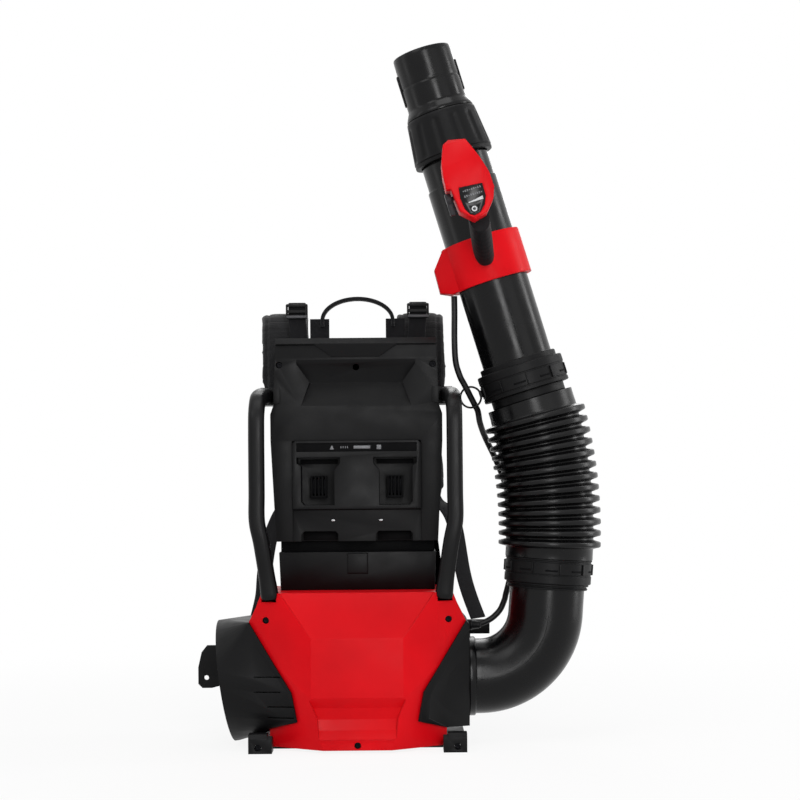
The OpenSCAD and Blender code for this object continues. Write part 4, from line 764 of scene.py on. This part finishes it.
# ---- Blower tube, nut and nozzle ----
def make_tube():
    place = place_tube()
    t, wall, step = TUBE_D / 2, 2.0, TUBE_TOP - 34
    s = t - 2
    inner = 40.5
    profile = [(t - wall, 6), (t - 0.5, 6), (t, 6.6), (t, step - 1), (t - 0.3, step), (s + 0.3, step + 0.4),
               (s, step + 1.2), (s, TUBE_TOP), (44.5, TUBE_TOP + 0.6), (44.5, TUBE_TOP + 17), (43.5, TUBE_TOP + 18),
               (inner, TUBE_TOP + 18), (inner, TUBE_TOP - 10), (s - wall, TUBE_TOP - 12), (s - wall, step - 8),
               (t - wall, step - 10)]
    tube = turn("v_main_tube", profile, place, SATIN, 128)
    soft_shade(tube, 40)
    set_piece(tube, "tube", "tube_satin", "main_tube")
    for name, a in (("a", 90), ("b", 270)):
        m = place @ Matrix.Rotation(math.radians(a + 8), 4, "Z")
        line = block("tube_seam_" + name, (t - 0.6, -0.5, 62), (t + 0.22, 0.5, step - 3), SATIN, 0.2, m, 1)
        set_piece(line, "tube", "tube_satin")


def make_nut():
    place = place_tube(NUT_S)

    first, last, lobe_turn, depth = 7, 58, 30, 2.1

    def lobes(a, r, h):
        """Flutes on the outside, one for each lobe_turn degrees, that fade out at both ends."""
        if r < 48 or h < first or h > last:
            return 0.0
        edge = min(1, (h - first) / 5, (last - h) / 6)
        off = abs((math.degrees(a) % lobe_turn) / lobe_turn - 0.5) / 0.2
        return -depth * edge * (1 - off) ** 0.7 if off < 1 else 0.0
    outer = [(53.6, 0.2), (55, 0.8), (55.4, 2.6), (55.2, 5), (54.4, 5.6), (54.6, 6.2)]
    outer += [(55.6 - 6.6 * (h - first) / 58, h)
              for h in (7, 8.5, 10, 12, 15, 20, 28, 36, 44, 50, 52, 54, 56, 57, 58, 60)]
    outer += [(49.4, 62), (48.8, 64.4), (47.6, 65.6), (45.8, 66), (41.9, 66), (41.9, 16), (47.9, 15.6), (47.9, 0.2)]
    nut = turn("v_coupling_nut", outer, place, BLACK, 180, lobes)
    soft_shade(nut, 32)
    set_piece(nut, "nut", "black_shell", "coupling_nut")


def make_nozzle():
    place = place_tube()
    r = 41.5
    top = NOZZLE_TOP
    base = TUBE_TOP + 18.05
    profile = [(39, base), (47, base), (47.4, base + 0.6), (47.4, base + 6.6), (41.7, base + 7), (r, base + 8),
               (r, NUT_S + 64), (47.6, NUT_S + 66.4), (47.9, NUT_S + 67.4), (46.6, NUT_S + 71), (43.6, NUT_S + 77),
               (r + 0.9, NUT_S + 79), (r + 0.5, NUT_S + 81), (r + 0.2, top - 46), (r - 0.6, top - 44.5),
               (r - 0.6, top - 43), (r, top - 41.5), (r - 0.2, top - 6), (r - 0.3, top - 1.2),
               (r - 0.9, top - 0.1), (39.4, top), (39, top - 0.6)]
    nozzle = turn("v_nozzle_end", profile, place, SATIN, 128)
    soft_shade(nozzle, 40)
    set_piece(nozzle, "tube", "black_shell", "nozzle_end")
    for k, a in enumerate((0, 180)):
        m = place @ Matrix.Rotation(math.radians(a), 4, "Z")
        lug = block(f"nozzle_lug_{k}", (r - 2, -5, NUT_S + 90), (r + 2, 5, top - 22), BLACK, 1.4, m, 3)
        set_piece(lug, "tube", "black_shell")


make_elbow()
make_collars()
make_hose()
make_tube()
make_nut()
make_nozzle()


# ---- Hard pieces: node, material, slot and the width of its rounded edges ----
SHELLS = [
    ("rear_cover", BLACK, "black_shell", 0.8), ("intake_cover", BLACK, "black_shell", 0.8),
    ("intake_grille", BLACK, "black_shell", 0.4), ("outlet_cover", BLACK, "black_shell", 0.8),
    ("base_frame", BLACK, "black_shell", 1.0), ("neck_cover", BLACK, "black_shell", 1.0),
    ("battery_housing", BLACK, "black_shell", 1.0), ("battery_housing_back", BLACK, "black_shell", 1.2),
    ("battery_tray", BLACK, "black_shell", 0.8), ("terminal_blocks", SOCKET, "black_shell", 0.3),
    ("battery_contacts", DARK_STEEL, "copper", 0.1), ("indicator_strip", SOCKET, "display", 0.3),
    ("back_frame", BLACK, "black_shell", 1.2), ("side_bracket", BLACK, "black_shell", 0.8),
    ("strap_anchors", BLACK, "black_shell", 0.8), ("clamp_front", RED, "red_shell", 2.2),
    ("clamp_rear", RED, "red_shell", 2.2), ("clamp_screws", STEEL, "steel", 0.3),
    ("control_head", RED, "red_shell", 3.4), ("display_panel", DISPLAY, "display", 0.4),
    ("power_button", DISPLAY, "button_grey", 0.4), ("throttle_trigger", BLACK, "soft_grip", 0.8),
    ("cruise_lever", DARK, "soft_grip", 1.6), ("cable_guide", BLACK, "bar_plastic", 0.2),
    ("housing_screws", DARK_STEEL, "steel", 0.3),
]
# Inner pieces that show as the CAD's own mesh
CARRIED = [
    ("fan_duct", GREY), ("impeller", GREY), ("motor_shaft", STEEL), ("motor_rotor", STEEL), ("motor_can", STEEL),
    ("motor_stator", COPPER), ("guide_vanes", GREY), ("motor_bearings", STEEL), ("motor_controller", BLACK),
    ("control_board", BOARD), ("wiring_loom", CABLE),
]


def make_shells():
    for node, mat, slot, width in SHELLS:
        shell(node, mat, slot, width)
    for node, mat in CARRIED:
        mesh = nodes[node].data
        mesh.materials.clear()
        mesh.materials.append(mat)
        for p in mesh.polygons:
            p.material_index = 0


# ---- Roll bars and cable ----
def make_bars():
    half, front, thick = 134.0, -92.0, 21.8
    route = [(118, -80, HOUSING_TOP - 8), (120, -82, 224), (128, -90, 280), (half, front, 312), (half, front, 350),
             (half, front, 400), (half, front + 1, 430), (half, front + 5, 455), (half - 0.4, front + 18, 471),
             (half - 1, front + 34, 478), (half - 4, front + 56, SHOULDER_Z - 1), (127, -26, SHOULDER_Z),
             (127, -21, SHOULDER_Z), (127, -16.1, SHOULDER_Z)]
    for name, s in LEFT_RIGHT:
        path = smooth_path([(s * x, y, z) for x, y, z in route], 6)
        # The lower end swells a little and is rounded off
        width, run = [], 0.0
        for k, q in enumerate(path):
            run += (q - path[k - 1]).length if k else 0.0
            end = math.sqrt(1 - (1 - min(1.0, (run + 1.5) / 8)) ** 2)
            width.append((thick + 3.0 * max(0.0, 1 - run / 30)) * (0.55 + 0.45 * end))
        bar = sweep("v_roll_bar_" + name, path, width, width, X, BAR, 0.62, 32)
        soft_shade(bar, 40)
        set_piece(bar, "pack", "bar_plastic", "roll_bar_" + name)


def round_cable(name, points):
    return sweep(name, smooth_path(points, 8), 2 * CABLE_R, 2 * CABLE_R, Vector((0, 1, 0.1)), CABLE, 1.0, 16)


def make_cables():
    cr, rr = CLAMP_R, RIB_D / 2
    # The clamp's lower edge, and the middle of the wire loop
    low = CLAMP_S - 31.5
    lx, ls = -ROOT_D / 2 - 16.5, 28.0
    join = HOSE_START + Vector((-57.2, 66, -55.3))
    handle = [at_tube(-cr - 1.1, 0, low - 1.6), at_tube(-cr - 7.6, 0, low - 23.7),
              at_tube(-cr - 19.6, -3, (ls + low) / 2 + 10.1), at_tube(lx - 5.7, -8, ls + 53),
              at_tube(lx - 6.2, -10.9, ls + 32.9), at_tube(lx - 4.2, -8.1, ls + 22)]
    upper = [handle[-1], at_tube(lx - 2, -5.2, ls + 10.8), at_tube(lx + 0.1, 0, ls),
             at_tube(lx + 2.3, 5.2, ls - 10.8), at_tube(lx + 4.3, 14, ls - 21.5),
             at_hose(-rr - 2.6, rr - 37.5, HOSE_LEN - 10.8), at_hose(-rr + 0.3, rr - 11.5, HOSE_LEN - 34),
             at_hose(-rr + 8.3, rr + 10.5, 0.7 * HOSE_LEN)]
    lower = [upper[-1], at_hose(-rr + 16.8, rr + 16.5, 0.52 * HOSE_LEN),
             at_hose(-rr + 23.4, rr + 16.5, 0.32 * HOSE_LEN), at_hose(-rr + 26.9, rr + 14.5, 0.13 * HOSE_LEN),
             HOSE_START + Vector((-45.2, 78, -5.3)), HOSE_START + Vector((-51.2, 70, -33.3)), join]
    pack = [join, join + Vector((-2.1, -1.4, -7.7)), (201, 62, 178), (188, 60, 166), (172, GLAND_Y, GLAND_Z + 1),
            (164, GLAND_Y, GLAND_Z), (OUTLET_X + 1, GLAND_Y, GLAND_Z)]
    # Name, points, the two bodies, the points that stay with each, and the node that it replaces
    for name, points, a, b, start, end, replaced in (
            ("handle_cable", handle, "hose_end", "tube", -1, 1, ["handle_cable"]),
            ("hose_cable_upper", upper, "hose_mid", "hose_end", -1, 5, ["hose_cable"]),
            ("hose_cable_lower", lower, "elbow", "hose_mid", -2, 0, []),
            ("pack_cable", pack, "pack", "elbow", -3, 0, ["pack_cable"])):
        cable = round_cable("v_" + name, points)
        set_bend(cable, a, b, points[start], points[end], "cable_sheath", *replaced)
    place = Matrix.Translation((OUTLET_X + 5, GLAND_Y, GLAND_Z)) @ Matrix.Rotation(math.radians(90), 4, "Y")
    profile = [(4.3, 0), (7.6, 0), (7.6, 3), (6.2, 4), (6.9, 6), (5.8, 7), (6.4, 9), (5.3, 10), (5.8, 12), (4.9, 14),
               (4.3, 16)]
    set_piece(turn("cable_relief_pack", profile, place, CABLE, 32), "pack", "cable_sheath")


# ---- Grip ----
def make_grip():
    low, high = at_tube(-5, -CLAMP_R - 6.1, CLAMP_S + 6), at_tube(-5, -165.9, CLAMP_S + 43)
    rings, steps = [], 40
    for k in range(steps + 1):
        t = (k / steps) ** 1.15
        p = low + (high - low) * t
        swell = 1 + 0.04 * math.sin(math.pi * t)
        end = min(1.0, t / 0.07)
        swell *= 0.78 + 0.22 * math.sqrt(1 - (1 - end) ** 2)
        dent = 0.35 if 8 < k < 36 and k % 4 == 0 else 0.0
        ring = []
        for j in range(48):
            a = 2 * math.pi * j / 48
            c, s = math.cos(a), math.sin(a)
            w = (13.4 * swell - dent) * math.copysign(abs(c) ** 0.85, c)
            d = (20 * swell - dent) * math.copysign(abs(s) ** 0.85, s)
            ring.append(p + TUBE_X * w + TUBE_Z * d)
        rings.append(ring)
    grip = skin("v_grip", rings, GRIP)
    soft_shade(grip, 50)
    set_piece(grip, "tube", "soft_grip", "grip")


make_shells()
shell("fan_housing", RED, "red_shell", 2.6, 6, 4)
make_bars()
make_cables()
make_grip()


# ---- Harness ----
PRESSURE, CLOTH_FRAMES = 4, 20


def stuffed(node, cap, voxel):
    """A pad: the node's solid, remeshed and blown up as cloth by at most cap millimetres."""
    obj = bpy.data.objects.new("v_" + node, nodes[node].data.copy())
    bpy.context.scene.collection.objects.link(obj)
    obj.data.materials.clear()
    obj.data.materials.append(PAD)
    mod = obj.modifiers.new("remesh", "REMESH")
    mod.mode = "VOXEL"
    mod.voxel_size = voxel * MM
    bake(obj)
    mesh = obj.data
    rest = [v.co.copy() for v in mesh.vertices]
    mod = obj.modifiers.new("cloth", "CLOTH")
    mod.settings.use_pressure = True
    mod.settings.uniform_pressure_force = PRESSURE
    mod.settings.effector_weights.gravity = 0
    mod.settings.quality = 5
    mod.point_cache.frame_start = 1
    mod.point_cache.frame_end = CLOTH_FRAMES
    for f in range(1, CLOTH_FRAMES + 1):
        scene.frame_set(f)
    graph = bpy.context.evaluated_depsgraph_get()
    moved = [v.co.copy() for v in obj.evaluated_get(graph).data.vertices]
    obj.modifiers.clear()
    for v, a, b in zip(mesh.vertices, rest, moved):
        d = b - a
        v.co = a + d * min(1.0, cap * MM / d.length if d.length > 1e-9 else 1.0)
    scene.frame_set(1)
    mod = obj.modifiers.new("smooth", "SMOOTH")
    mod.factor = 0.5
    mod.iterations = 3
    mod = obj.modifiers.new("subdivide", "SUBSURF")
    mod.levels = 1
    bake(obj)
    for p in obj.data.polygons:
        p.use_smooth = True
        p.material_index = 0
    if not obj.data.materials:
        obj.data.materials.append(PAD)
    return obj


def press(obj, depth):
    """Moves each point inwards along its normal by depth(point, normal) millimetres."""
    mesh = obj.data
    normals = [v.normal.copy() for v in mesh.vertices]
    for v, n in zip(mesh.vertices, normals):
        d = depth(v.co / MM, n)
        if d:
            v.co = v.co - n * (d * MM)
    mesh.update()


def groove(x, width):
    x = abs(x) / width
    return max(0.0, 1 - x * x) if x < 1 else 0.0


def make_pads():
    """The pads, with their seams and sewn channels pressed in after the cloth."""
    for name, s in LEFT_RIGHT:
        node = "shoulder_pad_" + name
        pad = stuffed(node, 3.0, 4.5)
        mid, seam = 91 if s > 0 else 107, 26

        def sewn(p, n):
            seams = 1.6 * groove(abs(p.x) - mid - seam, 2.6) + 1.6 * groove(abs(p.x) - mid + seam, 2.6)
            return seams + 0.5 * groove((p.y + p.z) % 22 - 11, 1.6)
        press(pad, sewn)
        set_piece(pad, "pack", "pad_fabric", node)

    def back_channels(p, n):
        return 2.6 * groove(abs(p.x) - 34, 5.0) + 2.2 * groove((p.z - 262) % 60 - 30, 4.0) if n.y > 0.2 else 0.0

    def lumbar_channels(p, n):
        return 2.6 * groove(p.x, 5.0) + 2.2 * groove(abs(p.x) - 62, 4.5) if n.y > 0.2 else 0.0
    for node, channels in (("back_pad", back_channels), ("lumbar_pad", lumbar_channels)):
        pad = stuffed(node, 5.0, 5.0)
        press(pad, channels)
        set_piece(pad, "pack", "pad_fabric", node)


def web(name, points, side):
    return soft_shade(sweep(name, smooth_path(points, 8), WEB_W, WEB_T, side, WEB, 0.4, 24), 50)


def on_pad(name, x, y):
    """The height at x and y for the middle of a strap that lies on the pad's upper side."""
    obj = bpy.data.objects["v_shoulder_pad_" + name]
    tree = BVHTree.FromPolygons([v.co / MM for v in obj.data.vertices], [p.vertices[:] for p in obj.data.polygons])
    above, lift = 760, 0.9
    return tree.ray_cast(Vector((x, y, above)), Vector((0, 0, -1)))[0].z + lift


def once(node, s):
    """Where one CAD node holds both sides, the left piece replaces it."""
    return (node,) if s < 0 else ()


def make_straps():
    web_y, bz = PAD_Y + 1.2, BAT_TOP + 49
    lifter = [(84, web_y, bz - 86), (84, web_y, bz - 60), (86, web_y, bz - 32), (88, web_y, bz - 9),
              (88, web_y, bz + 3), (88, web_y + 1, bz + 9), (88, web_y + 8, bz + 12)]
    # The harness hangs unevenly in the photograph
    right = [(102, PAD_Y + 105, 362), (108, PAD_Y + 99, 346), (114, PAD_Y + 92, 334), (129, PAD_Y + 77, 322),
             (141, PAD_Y + 60, 296), (151, PAD_Y + 41, 233), (159.5, 125.4, 199), (172, 109.4, 164)]
    left = [(105, PAD_Y + 106, 362), (107, PAD_Y + 100, 346), (110, PAD_Y + 92, 334), (122, PAD_Y + 77, 314),
            (134, PAD_Y + 60, 280), (141, PAD_Y + 41, 233), (143, 125.4, 199), (150, 109.4, 166)]
    for (name, s), lower in zip(LEFT_RIGHT, (left, right)):
        end = [(x, PAD_Y + y, on_pad(name, s * x, PAD_Y + y)) for x, y in ((90, 58), (91, 70), (92, 82))]
        a = web("v_lifter_strap_" + name, [(s * x, y, z) for x, y, z in lifter + end], X)
        set_piece(a, "pack", "webbing", *once("lifter_straps", s))
        b = web("v_lower_strap_" + name, [(s * x, y, z) for x, y, z in lower], Vector((1, 0.5 * s, 0)).normalized())
        set_piece(b, "pack", "webbing", *once("lower_straps", s))
        # Ladder-lock buckle
        y0, y1 = PAD_Y - 5.3, PAD_Y - 0.3
        x0, x1 = sorted((s * 72, s * 104))
        buckle = block("v_buckle_" + name, (x0, y0, bz - 11), (x1, y1, bz + 11), BLACK, 2.2)
        for z0, z1 in ((-7, -2), (2, 7)):
            cut(buckle, block("cutter", (x0 + 3, y0 - 3, bz + z0), (x1 - 3, y1 + 3, bz + z1), None, 0.8))
        soft_shade(buckle, 35)
        set_piece(buckle, "pack", "black_shell", *once("strap_buckles", s))
        bar = block("buckle_bar_" + name, (x0 + 1, y0 - 1.2, bz - 10), (x1 - 1, y0 + 1.5, bz - 6), GREY, 1.0)
        set_piece(bar, "pack", "grey_moulding")


def make_loop():
    half, rise, t, foot = 54.0, 34.0, 5.5, BAT_TOP - 34
    top, y = foot + 70, PAD_Y + 5
    turns = [math.radians(a) for a in range(180, -1, -5)]
    path = [Vector(((half - t / 2) * math.cos(a), y, top + (rise - t / 2) * math.sin(a))) for a in turns]
    path = [Vector((path[0].x, y, top - 9))] + path + [Vector((path[-1].x, y, top - 9))]
    loop = sweep("v_carry_loop", path, 21.4, t, Y, WEB, 0.5, 28)
    soft_shade(loop, 50)
    set_piece(loop, "pack", "webbing", "carry_handle")
    for name, s in LEFT_RIGHT:
        x0, x1 = sorted((s * (half - 13), s * (half + 15)))
        path = [Vector(((x0 + x1) / 2, PAD_Y + 1, foot + 3 * k)) for k in range(25)]
        leg = sweep("carry_leg_" + name, path, x1 - x0, 2.2, X, WEB, 0.4, 24)
        soft_shade(leg, 50)
        set_piece(leg, "pack", "webbing")


# ---- Display, button and strip marks: plain shapes without text ----
def make_marks():
    place = place_tube(HEAD_S)
    # From just before the display's face to just behind it
    y0, y1 = -206.95, -206.4
    for row, s in enumerate((-22.5, -29.5)):
        for k in range(9):
            x = -18.5 + k * 2.8
            half = (2.8 if (k + row) % 3 else 1.6) / 2
            lo, hi = (x, y0, s - half), (x + 1.7, y1, s + half)
            tick = block(f"display_tick_{row}_{k}", lo, hi, DIM_MARK, 0.15, place, 1)
            set_piece(tick, "tube", "display")
    outline = [(-15.5, -38.6), (4.4, -39.2), (4.4, -34.6), (-6, -36.6), (-15.5, -37.6)]
    set_piece(prism("display_wedge", outline, y0, y1, "y", MARK, 0.2, place, 1), "tube", "display")
    m = place @ Matrix.Translation((-10.5, -208.2, -48)) @ Matrix.Rotation(math.radians(90), 4, "X")
    profile = [(1.9, -0.3), (1.9, 0.35), (2.2, 0.6), (3.4, 0.6), (3.7, 0.35), (3.7, -0.3)]
    set_piece(turn("button_ring", profile, m, MARK, 48), "button", "button_grey")
    for k, mat in enumerate((MARK, DIM_MARK)):
        m = place @ Matrix.Translation((-33.8, -188, 3 + 9 * k)) @ Matrix.Rotation(math.radians(-90), 4, "Y")
        spot = turn(f"head_spot_{k}", [(0.01, 0.4), (1.1, 0.3), (1.3, -0.4), (0.01, -0.4)], m, mat, 24)
        set_piece(spot, "tube", "display")
    y, z = -33.4, TRAY_TOP - 9
    shapes = [("triangle", [(-37, z - 3), (-31, z - 3), (-34, z + 3)]),
              ("bar", [(-4, z - 2), (19, z - 2), (19, z + 2), (-4, z + 2)]),
              ("square", [(28, z - 3), (34, z - 3), (34, z + 3), (28, z + 3)])]
    shapes += [(f"tick_{k}", [(-22 + 3 * k, z - 1.5), (-20.8 + 3 * k, z - 1.5), (-20.8 + 3 * k, z + 1.5),
                              (-22 + 3 * k, z + 1.5)]) for k in range(4)]
    for name, outline in shapes:
        mark = prism("strip_" + name, outline, y - 0.3, y + 0.2, "y", DIM_MARK, 0.15, None, 1)
        set_piece(mark, "pack", "display")
    # A dark block that paints the shadow in the gap between the neck and the battery housing
    shadow_band = block("neck_painted_shadow", (-107, -6.4, 267.2), (107, 30, 281.8), SOCKET, 0.5, None, 2)
    set_piece(shadow_band, "pack", "black_shell")
    # Dark slots above the bays, light latch buttons, and the dark ways out below
    for name, s in LEFT_RIGHT:
        x0, x1 = sorted((s * 27, s * 79))
        slot = block("bay_slot_" + name, (x0, -5.5, 389), (x1, -4.4, 396), SOCKET, 0.8, None, 2)
        set_piece(slot, "pack", "black_shell")
        x = s * 33
        dot = block("latch_button_" + name, (x - 2.4, -31.6, 309.8), (x + 2.4, -27.5, 312.2), MARK, 0.8, None, 2)
        set_piece(dot, "pack", "grey_moulding")
        x0, x1 = sorted((s * 28, s * 75))
        way = block("bay_exit_" + name, (x0, -15.5, 283), (x1, -14.3, 295), SOCKET, 0.3, None, 1)
        set_piece(way, "pack", "black_shell")


make_pads()
make_straps()
make_loop()
make_marks()
